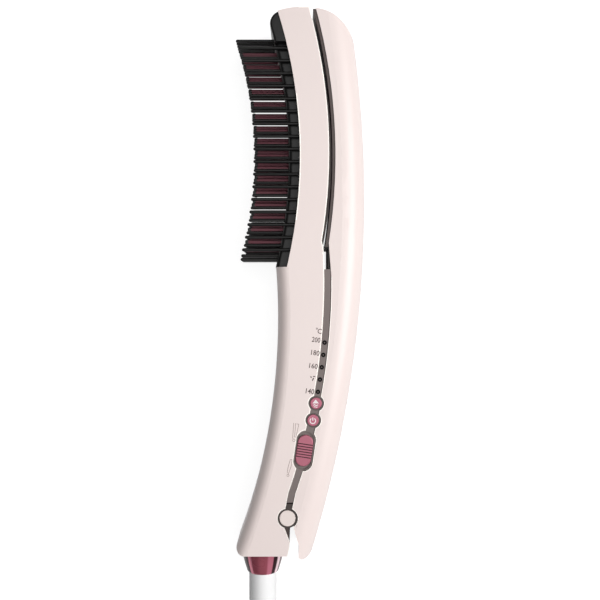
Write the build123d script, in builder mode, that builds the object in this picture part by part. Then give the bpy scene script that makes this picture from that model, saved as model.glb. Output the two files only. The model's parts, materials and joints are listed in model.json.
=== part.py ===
from build123d import *
from math import atan2, cos, degrees, hypot, pi, radians, sin, sqrt, tan
import os

os.makedirs("parts", exist_ok=True)

# Hair straightening brush lying on its side, in millimetres.
# X runs from the teeth to the back, Y along the handle towards the brush head,
# Z up from the side it rests on. Both arms are bowed about axes parallel to Z.

# Casing
body_width = 37.0
wall = 2.0
fit_gap = 0.3
running_gap = 0.35
grip_corner = 6.5
back_corner = 12.0

# Bowed edges: highest X, the Y where it is reached, and the radius
FACE_BOW = (0.0, 73.3, 244.2)
FRONT_SEAM_BOW = (14.8, 75.0, 271.6)
REAR_SEAM_BOW = (18.0, 73.1, 287.8)
GRIP_SEAM_BOW = (12.3, 9.4, 325.2)
GRIP_BOW = (-11.3, -9.0, 331.8)
BACK_BOW = (33.5, 51.5, 616.0)

# Heights along Y where the outlines change
front_top_y = 148.7
front_corner_y = 146.8
seam_top_y = 30.0
strip_top_y = 15.6
step_y = 16.8
seam_straight_y = -98.0
strip_bottom_y = -102.8
front_bottom_y = -130.1
rear_top_y = 148.2
rear_bottom_y = -132.6

# Hinge
hinge_x = -6.34
hinge_y = -110.8
pin_radius = 1.5
pin_bore_gap = 0.05
lug_radius = 4.9
cap_radius = 4.1
cap_thick = 1.2
lug_thick = 3.8
knuckle_radius = 5.2

# Control strip and its lands
strip_thick = 3.3
strip_recess = 0.2
web_thick = 2.0
lip_depth = 6.6
land_depth = 2.4
land_plate_top = body_width - land_depth
land_plate_thick = 1.6
button_1 = (8.1, -52.4)
button_2 = (6.6, -61.0)
button_radius = 2.95
ring_radius = 3.75
button_travel = 0.5
stem_shift = 1.9
stem_radius = 1.0
neck_width = 4.1
slider_centre = (2.2, -76.4)
slider_tilt = 8.5
slider_length = 16.0
slider_width = 7.9
track_length = 19.4
track_width = 8.5
bezel_length = 20.4
bezel_width = 9.4
led_radius = 1.15
led_first_y = -21.6
led_pitch = 6.25
led_count = 5

# Brush head
block_height = 5.8
block_half_foot = 12.2
flange_thick = 2.4
tooth_pitch = 6.46
tooth_first_y = 25.7
tooth_rows = 17
row_pitch = 4.7
stagger = 2.6
middle_fin_stagger = 0.6
side_fin_stagger = 4.5
tooth_radius = 0.85
low_edge_y = 21.1
low_row_y = 22.9
high_row_y = 134.0
dome_low_y = 131.5
dome_inset = 0.6
dome_round = 1.2
TIP_BOW = (-23.9, 73.7, 198.8)

# Plates
plate_width = 28.0
rear_plate_side_gap = 0.5
rear_plate_drop = 1.2
plate_thick = 1.3
FRONT_PLATE_BOW = (16.15, 73.0, 235.0)
REAR_PLATE_BOW = (16.5, 73.1, 286.3)
plate_low_y = 28.2
plate_high_y = 145.6

# Cord
cord_diameter = 5.6
collar_x = -19.6
collar_top_radius = 12.0
collar_bottom_radius = 7.6
collar_length = 13.1
boot_radius = 7.2
boot_length = 52.1
coil_pitch = 6.35
coil_turns = 4
coil_inner_radius = 20.9
coil_lift = 0.9
coil_tail = 4.0
tail_bend = 30.0
coil_extra_turn = pi / 6
coil_layer_gap = 0.6
plug_width = 36.0
plug_length = 32.0

# Screws that close the arms
boss_z = 12.0
boss_radius = 2.6
screw_radius = 1.1
head_radius = 2.0
head_thick = 1.0
seat_gap = 0.15
thread_gap = 0.05
front_screw_length = 11.0
rear_screw_length = 9.0
front_boss_heights = (4.0, -36.0, -84.0)
rear_boss_heights = (-14.0, -54.0, -92.0)

mid_z = body_width / 2
strip_x_gap = strip_thick + running_gap
GRIP_REAR_BOW = (GRIP_SEAM_BOW[0] + strip_x_gap, GRIP_SEAM_BOW[1], GRIP_SEAM_BOW[2])


def bow_point(bow, y, shift=0.0):
    """Point of a bowed edge at height y, moved outwards by shift along its radius."""
    apex_x, apex_y, radius = bow
    return (apex_x - radius + sqrt((radius + shift) ** 2 - (y - apex_y) ** 2), y)


def bow_arc(bow, y_start, y_end, shift=0.0):
    """Three points that draw the bowed edge between two heights."""
    heights = (y_start, (y_start + y_end) / 2, y_end)
    return [bow_point(bow, y, shift) for y in heights]


def bow_angle(bow, y):
    """Tilt of the bowed edge's normal from +X at height y, in degrees."""
    x, _ = bow_point(bow, y)
    return degrees(atan2(y - bow[1], x - bow[0] + bow[2]))


def seat_plane(bow, height, shift, way=1):
    """Plane square to a bowed edge's radius at a height, at the screws' Z, facing along way."""
    angle = radians(bow_angle(bow, height))
    x, y = bow_point(bow, height)
    across = (cos(angle), sin(angle))
    return Plane(
        (x + shift * across[0], y + shift * across[1], boss_z),
        x_dir=(0, 0, 1),
        z_dir=(way * across[0], way * across[1], 0),
    )


def wall_reach(plane, bow, shift):
    """Distance from a plane's origin along its normal to a wall's bow moved by shift."""
    way = plane.z_dir
    rise = (bow_point(bow, plane.origin.Y)[0] - plane.origin.X) * way.Y / way.X
    return (bow_point(bow, plane.origin.Y + rise, shift)[0] - plane.origin.X) / way.X


def band(outer_bow, inner_bow, y_low, y_high, outer_shift=0.0, inner_shift=0.0):
    """Sketch of the strip between two bowed edges."""
    with BuildSketch(mode=Mode.PRIVATE) as strip:
        with BuildLine():
            ThreePointArc(*bow_arc(outer_bow, y_low, y_high, outer_shift))
            ThreePointArc(*bow_arc(inner_bow, y_low, y_high, inner_shift))
            Line(bow_point(outer_bow, y_low, outer_shift), bow_point(inner_bow, y_low, inner_shift))
            Line(bow_point(outer_bow, y_high, outer_shift), bow_point(inner_bow, y_high, inner_shift))
        make_face()
    return strip.sketch


def bowed_ring(bow, thickness, corner, inset=0.0):
    """Ring about the bow's axis whose bowed side has rounded edges.

    A positive thickness puts the material outside the bow, a negative one inside.
    """
    apex_x, apex_y, radius = bow
    bowed_side = radius + (inset if thickness > 0 else -inset)
    other_side = radius + thickness
    with BuildPart(mode=Mode.PRIVATE) as ring:
        with BuildSketch(Plane.XZ.offset(-apex_y)):
            with Locations((apex_x - radius - (bowed_side + other_side) / 2, mid_z)):
                Rectangle(abs(other_side - bowed_side), body_width - 2 * inset)
            side = -1 if thickness > 0 else 0
            fillet(vertices().group_by(Axis.X)[side], corner - inset)
        revolve(axis=Axis((apex_x - radius, apex_y, 0), (0, 0, 1)))
    return ring.part


# Outline of the front arm, seen along Z
notch_top = (-8.0, -115.6)
notch_point = (-5.1, -123.1)
notch_low = (-5.6, -126.6)
front_bottom_right = (-6.4, front_bottom_y)
front_bottom_left = (-28.4, front_bottom_y)
heel_point = (-31.4, -129.0)
heel_y = -126.0
hinge_gap_top = -107.0
front_gap_x = -7.6
rear_gap_x = -4.25


def front_outline():
    top_left = bow_point(FACE_BOW, front_corner_y)
    top_right = bow_point(FRONT_SEAM_BOW, front_top_y)
    top_middle = ((top_left[0] + top_right[0]) / 2 + 0.8, front_top_y - 0.1)
    with BuildSketch(mode=Mode.PRIVATE) as outline:
        with BuildLine():
            ThreePointArc(top_left, top_middle, top_right)
            ThreePointArc(*bow_arc(FRONT_SEAM_BOW, front_top_y, seam_top_y))
            Line(bow_point(FRONT_SEAM_BOW, seam_top_y), bow_point(GRIP_SEAM_BOW, seam_top_y - 4))
            ThreePointArc(*bow_arc(GRIP_SEAM_BOW, seam_top_y - 4, seam_straight_y))
            Polyline(
                bow_point(GRIP_SEAM_BOW, seam_straight_y),
                (front_gap_x, hinge_gap_top),
                notch_top,
                notch_point,
            )
            ThreePointArc(notch_point, notch_low, front_bottom_right)
            Line(front_bottom_right, front_bottom_left)
            ThreePointArc(front_bottom_left, heel_point, bow_point(GRIP_BOW, heel_y))
            ThreePointArc(*bow_arc(GRIP_BOW, heel_y, step_y))
            Line(bow_point(GRIP_BOW, step_y), bow_point(FACE_BOW, step_y))
            ThreePointArc(*bow_arc(FACE_BOW, step_y, front_corner_y))
        make_face()
    return outline.sketch


tail_top = (-3.2, -116.0)
tail_knee = (-0.6, -124.7)
tail_inner_tip = (-0.8, -131.3)
tail_tip = (0.8, rear_bottom_y)
tail_round = (4.8, -131.2)
tail_back_y = -129.2
rear_round_point = (18.9, 144.1)
rear_back_y = 133.0
seam_step_y = 29.0


def rear_outline():
    top_left = bow_point(REAR_SEAM_BOW, rear_top_y)
    with BuildSketch(mode=Mode.PRIVATE) as outline:
        with BuildLine():
            ThreePointArc(top_left, rear_round_point, bow_point(BACK_BOW, rear_back_y))
            ThreePointArc(*bow_arc(BACK_BOW, rear_back_y, tail_back_y))
            ThreePointArc(bow_point(BACK_BOW, tail_back_y), tail_round, tail_tip)
            Polyline(
                tail_tip,
                tail_inner_tip,
                tail_knee,
                tail_top,
                (rear_gap_x, hinge_gap_top),
                bow_point(GRIP_REAR_BOW, seam_straight_y),
            )
            ThreePointArc(*bow_arc(GRIP_REAR_BOW, seam_straight_y, strip_top_y - 4))
            Line(bow_point(GRIP_REAR_BOW, strip_top_y - 4), bow_point(REAR_SEAM_BOW, seam_step_y))
            ThreePointArc(*bow_arc(REAR_SEAM_BOW, seam_step_y, rear_top_y))
        make_face()
    return outline.sketch


def control_lands(gap=0.0):
    """The button rings, necks and slider bezel of the control strip, widened by gap."""
    with BuildSketch(mode=Mode.PRIVATE) as lands:
        with Locations(button_1, button_2):
            Circle(ring_radius + gap)
        neck_length = hypot(button_1[0] - button_2[0], button_1[1] - button_2[1])
        with Locations(((button_1[0] + button_2[0]) / 2, (button_1[1] + button_2[1]) / 2)):
            Rectangle(neck_width + 2 * gap, neck_length, rotation=-slider_tilt)
        lower_neck = ((button_2[0] + slider_centre[0]) / 2 + 0.6, (button_2[1] + slider_centre[1]) / 2 + 2)
        with Locations(lower_neck):
            Rectangle(neck_width + 2 * gap, neck_length + 4, rotation=-slider_tilt - 4)
        with Locations(slider_centre):
            SlotOverall(bezel_length + 2 * gap, bezel_width + 2 * gap, rotation=90 - slider_tilt)
    return lands.sketch


# Bodies of the two arms: outer forms and the space inside
grip_form = bowed_ring(GRIP_BOW, 60.0, grip_corner)
grip_space = bowed_ring(GRIP_BOW, 60.0, grip_corner, wall)
back_form = bowed_ring(BACK_BOW, -60.0, back_corner)
back_space = bowed_ring(BACK_BOW, -60.0, back_corner, wall)
front_area = front_outline()
rear_area = rear_outline()
land_area = control_lands()
front_land_hole = control_lands(0.1)
rear_land_hole = control_lands(running_gap)

# Space inside the front arm, open to the teeth above the step and to the seam
with BuildSketch() as front_space_area:
    with BuildLine():
        ThreePointArc(*bow_arc(GRIP_BOW, front_bottom_y + wall, step_y - wall, wall))
        Line(bow_point(GRIP_BOW, step_y - wall, wall), bow_point(FACE_BOW, step_y - wall, -1))
        ThreePointArc(*bow_arc(FACE_BOW, step_y - wall, front_top_y - 2.6, -1.0))
        Line(bow_point(FACE_BOW, front_top_y - 2.6, -1), bow_point(FRONT_SEAM_BOW, front_top_y - 2.6, 1))
        ThreePointArc(*bow_arc(FRONT_SEAM_BOW, front_top_y - 2.6, seam_top_y, 1.0))
        Line(bow_point(FRONT_SEAM_BOW, seam_top_y, 1), bow_point(GRIP_SEAM_BOW, seam_top_y - 4, 1))
        ThreePointArc(*bow_arc(GRIP_SEAM_BOW, seam_top_y - 4, seam_straight_y, 1))
        Polyline(
            bow_point(GRIP_SEAM_BOW, seam_straight_y, 1),
            (hinge_x + lug_radius, hinge_gap_top),
            (hinge_x + lug_radius, hinge_y - knuckle_radius),
            (notch_point[0] + 1, notch_point[1] - 2.4),
            (notch_point[0] + 1, front_bottom_y + wall),
            bow_point(GRIP_BOW, front_bottom_y + wall, wall),
        )
    make_face()

cover_web_x = strip_thick - web_thick

with BuildPart() as front_space:
    add(front_space_area.sketch)
    extrude(amount=body_width - 2 * wall)
front_space_body = Pos(0, 0, wall) * front_space.part
front_space_body = front_space_body & grip_space

with BuildPart() as front_shell:
    add(front_area)
    extrude(amount=body_width)
    add(grip_form, mode=Mode.INTERSECT)
    add(front_space_body, mode=Mode.SUBTRACT)
    for height in front_boss_heights:
        seat = seat_plane(GRIP_SEAM_BOW, height, cover_web_x - seat_gap, -1)
        with BuildSketch(seat):
            Circle(boss_radius)
        extrude(amount=wall_reach(seat, GRIP_BOW, wall / 2))
        with BuildSketch(seat):
            Circle(screw_radius)
        extrude(amount=front_screw_length, mode=Mode.SUBTRACT)
    with BuildSketch(Plane.XY.offset(body_width - wall)):
        add(front_land_hole)
    extrude(amount=wall, mode=Mode.SUBTRACT)
    with BuildSketch():
        with Locations((hinge_x, hinge_y)):
            Circle(lug_radius + 0.1)
    extrude(amount=body_width, mode=Mode.SUBTRACT)
    with BuildSketch(Plane.XZ.offset(-front_bottom_y - wall)):
        with Locations((collar_x, mid_z)):
            Circle(collar_top_radius - 2.0)
    extrude(amount=wall + 1, mode=Mode.SUBTRACT)
front_shell.part.label = "front_shell"
export_step(front_shell.part, "parts/front_shell.step")

# Grey cover that closes the front arm along the seam and shows as the control strip
near_face_z = body_width - strip_recess
front_cover_band = band(GRIP_SEAM_BOW, GRIP_SEAM_BOW, seam_straight_y, strip_top_y, strip_thick)
strip_foot = [
    bow_point(GRIP_SEAM_BOW, seam_straight_y),
    (front_gap_x + 0.8, strip_bottom_y),
    (front_gap_x + 0.8 + strip_thick - 0.2, strip_bottom_y),
    bow_point(GRIP_SEAM_BOW, seam_straight_y, strip_thick),
]
led_points = [
    bow_point(GRIP_SEAM_BOW, led_first_y - led_pitch * index, strip_thick / 2) for index in range(led_count)
]
board_depth = 12.4
board_bottom = body_width - board_depth
board_thick = 1.6
board_top = board_bottom + board_thick
post_radius = 1.9
board_post_heights = (-42.0, -89.0)
board_post_depth = 4.0
board_post_points = [bow_point(GRIP_SEAM_BOW, y, -board_post_depth) for y in board_post_heights]
lip_underside = near_face_z - lip_depth

slider_plane = Plane(
    (slider_centre[0], slider_centre[1], near_face_z - 0.95),
    x_dir=(sin(radians(slider_tilt)), cos(radians(slider_tilt)), 0),
    z_dir=(0, 0, 1),
)
slider_travel = (track_length - slider_length) / 2 - 0.1
stem_length = 5.0
stem_width = 2.4

with BuildPart() as front_cover:
    with BuildSketch(Plane.XY.offset(strip_recess)):
        add(front_cover_band)
        with BuildLine():
            Polyline(*strip_foot, close=True)
        make_face()
    extrude(amount=body_width - 2 * strip_recess)
    with BuildSketch(Plane.XY.offset(lip_depth)):
        add(
            band(
                GRIP_SEAM_BOW,
                GRIP_SEAM_BOW,
                seam_straight_y + 4,
                strip_top_y - 2,
                cover_web_x,
                -0.5,
            )
        )
    extrude(amount=lip_underside - lip_depth, mode=Mode.SUBTRACT)
    with BuildSketch(Plane.XY.offset(land_plate_top - land_plate_thick)):
        with Locations(button_1, button_2):
            Circle(ring_radius + 0.9)
        with Locations(slider_centre):
            SlotOverall(bezel_length + 2.4, bezel_width + 2.0, rotation=90 - slider_tilt)
        with Locations(*board_post_points):
            Circle(post_radius + 1.4)
        for point in board_post_points:
            with Locations(((point[0] + bow_point(GRIP_SEAM_BOW, point[1])[0]) / 2, point[1])):
                Rectangle(6.0, 3.0)
    extrude(amount=land_plate_thick)
    with BuildSketch(Plane.XY.offset(land_plate_top)):
        add(land_area)
    extrude(amount=near_face_z - land_plate_top)
    with BuildSketch(Plane.XY.offset(board_top)):
        with Locations(*board_post_points):
            Circle(post_radius)
    extrude(amount=land_plate_top - board_top)
    with BuildSketch(Plane.XY.offset(board_top)):
        with Locations(*board_post_points):
            Circle(screw_radius * 0.8)
    extrude(amount=5.0, mode=Mode.SUBTRACT)
    with BuildSketch(Plane.XY.offset(land_plate_top)):
        with Locations(button_1, button_2):
            Circle(ring_radius)
    extrude(amount=4.0, mode=Mode.SUBTRACT)
    with BuildSketch(Plane.XY.offset(lip_underside - 2.0)):
        with Locations(*[(x - stem_shift, y) for x, y in (button_1, button_2)]):
            Circle(stem_radius + 0.1)
    extrude(amount=8.0, mode=Mode.SUBTRACT)
    with BuildSketch(Plane.XY.offset(near_face_z - 1.0)):
        with Locations(slider_centre):
            SlotOverall(track_length, track_width, rotation=90 - slider_tilt)
    extrude(amount=2.0, mode=Mode.SUBTRACT)
    with BuildSketch(slider_plane.offset(lip_underside - near_face_z - 1)):
        with Locations((0, stem_shift)):
            SlotOverall(stem_length + 2 * slider_travel + 0.4, stem_width + 0.3)
    extrude(amount=12.0, mode=Mode.SUBTRACT)
    with BuildSketch(Plane.XY.offset(lip_underside - 1)):
        with Locations(*led_points):
            Circle(led_radius + 0.05)
    extrude(amount=12.0, mode=Mode.SUBTRACT)
    for height in front_boss_heights:
        seat = seat_plane(GRIP_SEAM_BOW, height, strip_thick + 1, -1)
        with BuildSketch(seat):
            Circle(screw_radius + seat_gap)
        extrude(amount=strip_thick + 2, mode=Mode.SUBTRACT)
        with BuildSketch(seat):
            Circle(head_radius + seat_gap)
        extrude(amount=1 + head_thick + 2 * seat_gap, mode=Mode.SUBTRACT)
front_cover.part.label = "front_cover"
export_step(front_cover.part, "parts/front_cover.step")


# Hinge: yoke on the front arm, knuckle on the rear liner, pin, spring and caps
low_face_z = strip_recess
cheek_low = (wall + 0.2, low_face_z + lug_thick)
cheek_high = (near_face_z - lug_thick, body_width - wall - 0.2)
lug_spans = ((low_face_z, low_face_z + lug_thick), (near_face_z - lug_thick, near_face_z))
knuckle_low = lug_spans[0][1] + fit_gap
spring_room = 4.6
knuckle_high = lug_spans[1][0] - spring_room
guard_x = -5.4
guard_thick = 1.0
yoke_web_x = -16.0
yoke_web_thick = 3.0
rib_depth = 4.0
hinge_spot = (hinge_x, hinge_y)

with BuildPart() as hinge_yoke:
    for low, high in lug_spans:
        with BuildSketch(Plane.XY.offset(low)):
            with Locations(hinge_spot):
                Circle(lug_radius)
            with BuildLine():
                Polyline(
                    (front_gap_x + 0.5, hinge_gap_top - 1),
                    (front_gap_x + 0.8, strip_bottom_y - 0.6),
                    (rear_gap_x - running_gap + 0.9, strip_bottom_y - 0.6),
                    (rear_gap_x - running_gap - 0.1, hinge_gap_top - 1),
                    close=True,
                )
            make_face()
        extrude(amount=high - low)
    for low, high in (cheek_low, cheek_high):
        with BuildSketch(Plane.XY.offset(low)):
            with BuildLine():
                Polyline(
                    (yoke_web_x, hinge_y - 5.5),
                    (yoke_web_x, hinge_y + 5.5),
                    (hinge_x, hinge_y + 4.5),
                    (guard_x, hinge_y - 4.0),
                    (guard_x, notch_point[1] - 1),
                    (guard_x - 3.0, notch_point[1] - 1),
                    (guard_x - 3.0, hinge_y - 5.5),
                    close=True,
                )
            make_face()
        extrude(amount=high - low)
    with BuildSketch(Plane.XY.offset(cheek_low[0])):
        with BuildLine():
            Polyline(
                (guard_x, hinge_y - knuckle_radius - 0.5),
                (guard_x, notch_point[1] - 1),
                (guard_x - guard_thick, notch_point[1] - 1),
                (guard_x - guard_thick, hinge_y - knuckle_radius - 0.5),
                close=True,
            )
        make_face()
        with Locations((yoke_web_x + yoke_web_thick / 2, hinge_y)):
            Rectangle(yoke_web_thick, 11.0)
    extrude(amount=cheek_high[1] - cheek_low[0])
    yoke_wall_x = bow_point(GRIP_BOW, hinge_y, wall + 0.1)[0]
    for low in (grip_corner, body_width - grip_corner - rib_depth):
        with BuildSketch(Plane.XY.offset(low)):
            with Locations(((yoke_wall_x + 0.4 + yoke_web_x) / 2, hinge_y)):
                Rectangle(yoke_web_x - yoke_wall_x - 0.2, 2.4)
        extrude(amount=rib_depth)
    with BuildSketch(Plane.XY.offset(low_face_z)):
        with Locations(hinge_spot):
            Circle(pin_radius + pin_bore_gap)
    extrude(amount=body_width, mode=Mode.SUBTRACT)
    for low in (low_face_z, near_face_z - cap_thick):
        with BuildSketch(Plane.XY.offset(low)):
            with Locations(hinge_spot):
                Circle(cap_radius)
        extrude(amount=cap_thick, mode=Mode.SUBTRACT)
hinge_yoke.part.label = "hinge_yoke"
export_step(hinge_yoke.part, "parts/hinge_yoke.step")

pin_low = low_face_z + cap_thick
pin_high = near_face_z - cap_thick
with BuildPart() as hinge_pin:
    with BuildSketch(Plane.XY.offset(pin_low)):
        with Locations(hinge_spot):
            Circle(pin_radius)
    extrude(amount=pin_high - pin_low)
    chamfer(hinge_pin.edges().filter_by(GeomType.CIRCLE), 0.2)
hinge_pin.part.label = "hinge_pin"
export_step(hinge_pin.part, "parts/hinge_pin.step")

for cap_name, cap_low, rim in (("hinge_cap_far", low_face_z, 0), ("hinge_cap_near", pin_high, -1)):
    with BuildPart() as hinge_cap:
        with BuildSketch(Plane.XY.offset(cap_low)):
            with Locations(hinge_spot):
                Circle(cap_radius)
        extrude(amount=cap_thick)
        fillet(hinge_cap.edges().group_by(Axis.Z)[rim], 0.35)
    hinge_cap.part.label = cap_name
    export_step(hinge_cap.part, f"parts/{cap_name}.step")

spring_wire = 0.45
spring_radius = 3.1
spring_pitch = 1.1
spring_turns = 2.5
spring_low = knuckle_high + 0.4 + spring_wire
with BuildPart() as hinge_spring:
    with BuildLine(Plane((hinge_x, hinge_y, spring_low))) as spring_path:
        Helix(pitch=spring_pitch, height=spring_pitch * spring_turns, radius=spring_radius)
    with BuildSketch(Plane(origin=spring_path.wires()[0] @ 0, z_dir=spring_path.wires()[0] % 0)):
        Circle(spring_wire)
    sweep(path=spring_path.wires()[0], is_frenet=True)
hinge_spring.part.label = "hinge_spring"
export_step(hinge_spring.part, "parts/hinge_spring.step")

def plate_piece(bow, span, low_z, width, outer_shift, inner_shift):
    """Curved plate between two shifts of a bow."""
    with BuildPart(mode=Mode.PRIVATE) as piece:
        with BuildSketch(Plane.XY.offset(low_z)):
            add(band(bow, bow, span[0], span[1], outer_shift, inner_shift))
        extrude(amount=width)
    return piece.part


# Brush base with its moulded outer teeth
comb_half_width = 7.2
comb_thick = 1.8
comb_heater_low_inset = 10.1
comb_heater_high_inset = 8.9
comb_heater_thick = 1.4
comb_heater_width = 12.0
comb_heater_low_z = mid_z - comb_heater_width / 2
comb_back = -block_height + comb_thick
comb_heater_back = comb_back + comb_heater_thick
base_top_y = front_corner_y - 0.1
block_top_y = 139.5
base_low_y = step_y + 0.05
shoulder_radius = 2.0
tooth_heights = [tooth_first_y + tooth_pitch * index for index in range(tooth_rows)]
comb_margin = 1.8
comb_low_y = tooth_heights[0] - comb_margin
comb_high_y = tooth_heights[-1] + comb_margin
comb_heater_span = (comb_low_y + comb_heater_low_inset, comb_high_y - comb_heater_high_inset)


def tooth_ends(y, root_height):
    """X of a tooth's root, just under the surface, and of its tip, at height y."""
    return bow_point(FACE_BOW, y, 0.8 - root_height)[0], bow_point(TIP_BOW, y)[0]


def round_tooth(y, z, root_height):
    """Tooth with a round tip, along -X."""
    root_x, tip_x = tooth_ends(y, root_height)
    length = root_x - tip_x
    with BuildPart(mode=Mode.PRIVATE) as tooth:
        with BuildSketch(Plane((root_x, y, mid_z + z), x_dir=(-1, 0, 0), z_dir=(0, 0, 1))):
            with BuildLine():
                Polyline((length, 0), (0, 0), (0, tooth_radius), (length - tooth_radius, tooth_radius))
                RadiusArc((length - tooth_radius, tooth_radius), (length, 0), tooth_radius)
            make_face()
        revolve(axis=Axis((root_x, y, mid_z + z), (-1, 0, 0)))
    return tooth.part


outer_teeth = []
for side in (-1, 1):
    for height in tooth_heights:
        outer_teeth.append(round_tooth(height, side * 3 * row_pitch, 0.0))
    for height in tooth_heights[:-1]:
        outer_teeth.append(round_tooth(height + stagger, side * 2 * row_pitch, block_height))
for height in (low_row_y, high_row_y):
    for row in (-2, -1, 0, 1, 2):
        outer_teeth.append(round_tooth(height, row * row_pitch, block_height))
for row in (-1.5, -0.5, 0.5, 1.5):
    outer_teeth.append(round_tooth(low_edge_y, row * row_pitch, block_height))

# Dome that ends the brush, as wide as the casing
dome_middle = (-14.2, 144.4)
with BuildPart() as end_dome:
    with BuildSketch(Plane.XY.offset(dome_inset)):
        with BuildLine():
            ThreePointArc(*bow_arc(FACE_BOW, dome_low_y, block_top_y, -block_height))
            ThreePointArc(
                bow_point(FACE_BOW, block_top_y, -block_height), dome_middle, bow_point(FACE_BOW, base_top_y, -0.1)
            )
            ThreePointArc(*bow_arc(FACE_BOW, base_top_y, dome_low_y, -0.1))
            Line(bow_point(FACE_BOW, dome_low_y, -0.1), bow_point(FACE_BOW, dome_low_y, -block_height))
        make_face()
    extrude(amount=body_width - 2 * dome_inset)
    dome_rims = end_dome.edges().filter_by(GeomType.CIRCLE).group_by(Axis.Z)
    fillet([edge for rim in (dome_rims[0], dome_rims[-1]) for edge in rim.sort_by(Axis.X)[0:2]], dome_round)

with BuildPart() as brush_base:
    with BuildSketch(Plane.XY.offset(wall + 0.2)):
        add(band(FACE_BOW, FACE_BOW, base_low_y, base_top_y - wall, flange_thick, 0.0))
    extrude(amount=body_width - 2 * wall - 0.4)
    with BuildSketch(Plane.XY.offset(mid_z - block_half_foot)):
        with BuildLine():
            ThreePointArc(*bow_arc(FACE_BOW, base_low_y, block_top_y, -block_height))
            ThreePointArc(
                bow_point(FACE_BOW, block_top_y, -block_height), dome_middle, bow_point(FACE_BOW, base_top_y)
            )
            ThreePointArc(*bow_arc(FACE_BOW, base_top_y, base_low_y))
            Line(bow_point(FACE_BOW, base_low_y), bow_point(FACE_BOW, base_low_y, -block_height))
        make_face()
    extrude(amount=2 * block_half_foot)
    fillet(brush_base.edges().filter_by(GeomType.CIRCLE).sort_by(Axis.X)[0:2], shoulder_radius)
    with BuildSketch(Plane.XY.offset(mid_z - comb_half_width)):
        add(band(FACE_BOW, FACE_BOW, comb_low_y, comb_high_y, -block_height + comb_thick, -block_height - 1))
    extrude(amount=2 * comb_half_width, mode=Mode.SUBTRACT)
    add(
        plate_piece(
            FACE_BOW, comb_heater_span, comb_heater_low_z, comb_heater_width, comb_heater_back, comb_back
        ),
        mode=Mode.SUBTRACT,
    )
    add(end_dome.part)
    add(outer_teeth)
brush_base.part.label = "brush_base"
export_step(brush_base.part, "parts/brush_base.step")

# Heated comb: curved plate with flat teeth, and the cool caps on their tips
comb_tooth_height = 2.1
comb_tooth_width = 1.3
cap_length = 1.7
cap_wall = 0.2
cap_round = 0.7
comb_spots = []
for height in tooth_heights:
    comb_spots.append((height + middle_fin_stagger, 0.0))
for height in tooth_heights[:-1]:
    comb_spots += [(height + side_fin_stagger, -row_pitch), (height + side_fin_stagger, row_pitch)]


def flat_bar(x, y, z, length, margin=0.0):
    """Bar with rounded edges that runs along -X from x."""
    with BuildPart(mode=Mode.PRIVATE) as bar:
        with BuildSketch(Plane((x, y, mid_z + z), x_dir=(0, 1, 0), z_dir=(-1, 0, 0))):
            SlotOverall(comb_tooth_height + 2 * margin, comb_tooth_width + 2 * margin)
        extrude(amount=length)
    return bar.part


with BuildPart() as heated_comb:
    with BuildSketch(Plane.XY.offset(mid_z - comb_half_width)):
        add(band(FACE_BOW, FACE_BOW, comb_low_y, comb_high_y, -block_height + comb_thick, -block_height))
    extrude(amount=2 * comb_half_width)
    fins = []
    for height, z in comb_spots:
        root_x, tip_x = tooth_ends(height, block_height)
        fins.append(flat_bar(root_x, height, z, root_x - tip_x - 0.8))
    add(fins)
heated_comb.part.label = "heated_comb"
export_step(heated_comb.part, "parts/heated_comb.step")

caps = []
for height, z in comb_spots:
    tip_x = tooth_ends(height, block_height)[1]
    with BuildPart(mode=Mode.PRIVATE) as cap:
        add(flat_bar(tip_x + cap_length, height, z, cap_length, cap_wall))
        fillet(cap.edges().group_by(Axis.X)[0], cap_round)
        add(flat_bar(tip_x + cap_length, height, z, cap_length - 0.8), mode=Mode.SUBTRACT)
    caps.append(cap.part)
comb_tips = Compound(label="comb_tips", children=caps)
export_step(comb_tips, "parts/comb_tips.step")

# Plates, their heaters and heat-proof carriers
carrier_thick = 2.6
heater_thick = 1.6
carrier_low_z = wall + 0.3
carrier_depth = body_width - 2 * carrier_low_z
heater_width = 21.0
plate_low_z = mid_z - plate_width / 2
rear_plate_width = body_width - 2 * rear_plate_side_gap
heater_low_z = mid_z - heater_width / 2
front_plate_span = (plate_low_y, plate_high_y)
rear_plate_span = (plate_low_y - rear_plate_drop, rear_top_y - 0.4)
rear_carrier_span = (plate_low_y - rear_plate_drop, rear_top_y - 3.2)
heater_low_inset = 13.8
heater_high_inset = 11.6
heater_span = (plate_low_y + heater_low_inset, plate_high_y - heater_high_inset)
strand_foot_y = strip_top_y + fit_gap


with BuildPart() as front_plate:
    add(plate_piece(FRONT_PLATE_BOW, front_plate_span, plate_low_z, plate_width, 0, -plate_thick))
front_plate.part.label = "front_plate"
export_step(front_plate.part, "parts/front_plate.step")

with BuildPart() as rear_plate:
    add(plate_piece(REAR_PLATE_BOW, rear_plate_span, rear_plate_side_gap, rear_plate_width, plate_thick, 0))
rear_plate.part.label = "rear_plate"
export_step(rear_plate.part, "parts/rear_plate.step")

front_back = -plate_thick - heater_thick
with BuildPart() as front_heater:
    add(plate_piece(FRONT_PLATE_BOW, heater_span, heater_low_z, heater_width, -plate_thick, front_back))
front_heater.part.label = "front_heater"
export_step(front_heater.part, "parts/front_heater.step")

rear_back = plate_thick + heater_thick
with BuildPart() as rear_heater:
    add(plate_piece(REAR_PLATE_BOW, heater_span, heater_low_z, heater_width, rear_back, plate_thick))
rear_heater.part.label = "rear_heater"
export_step(rear_heater.part, "parts/rear_heater.step")

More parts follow.
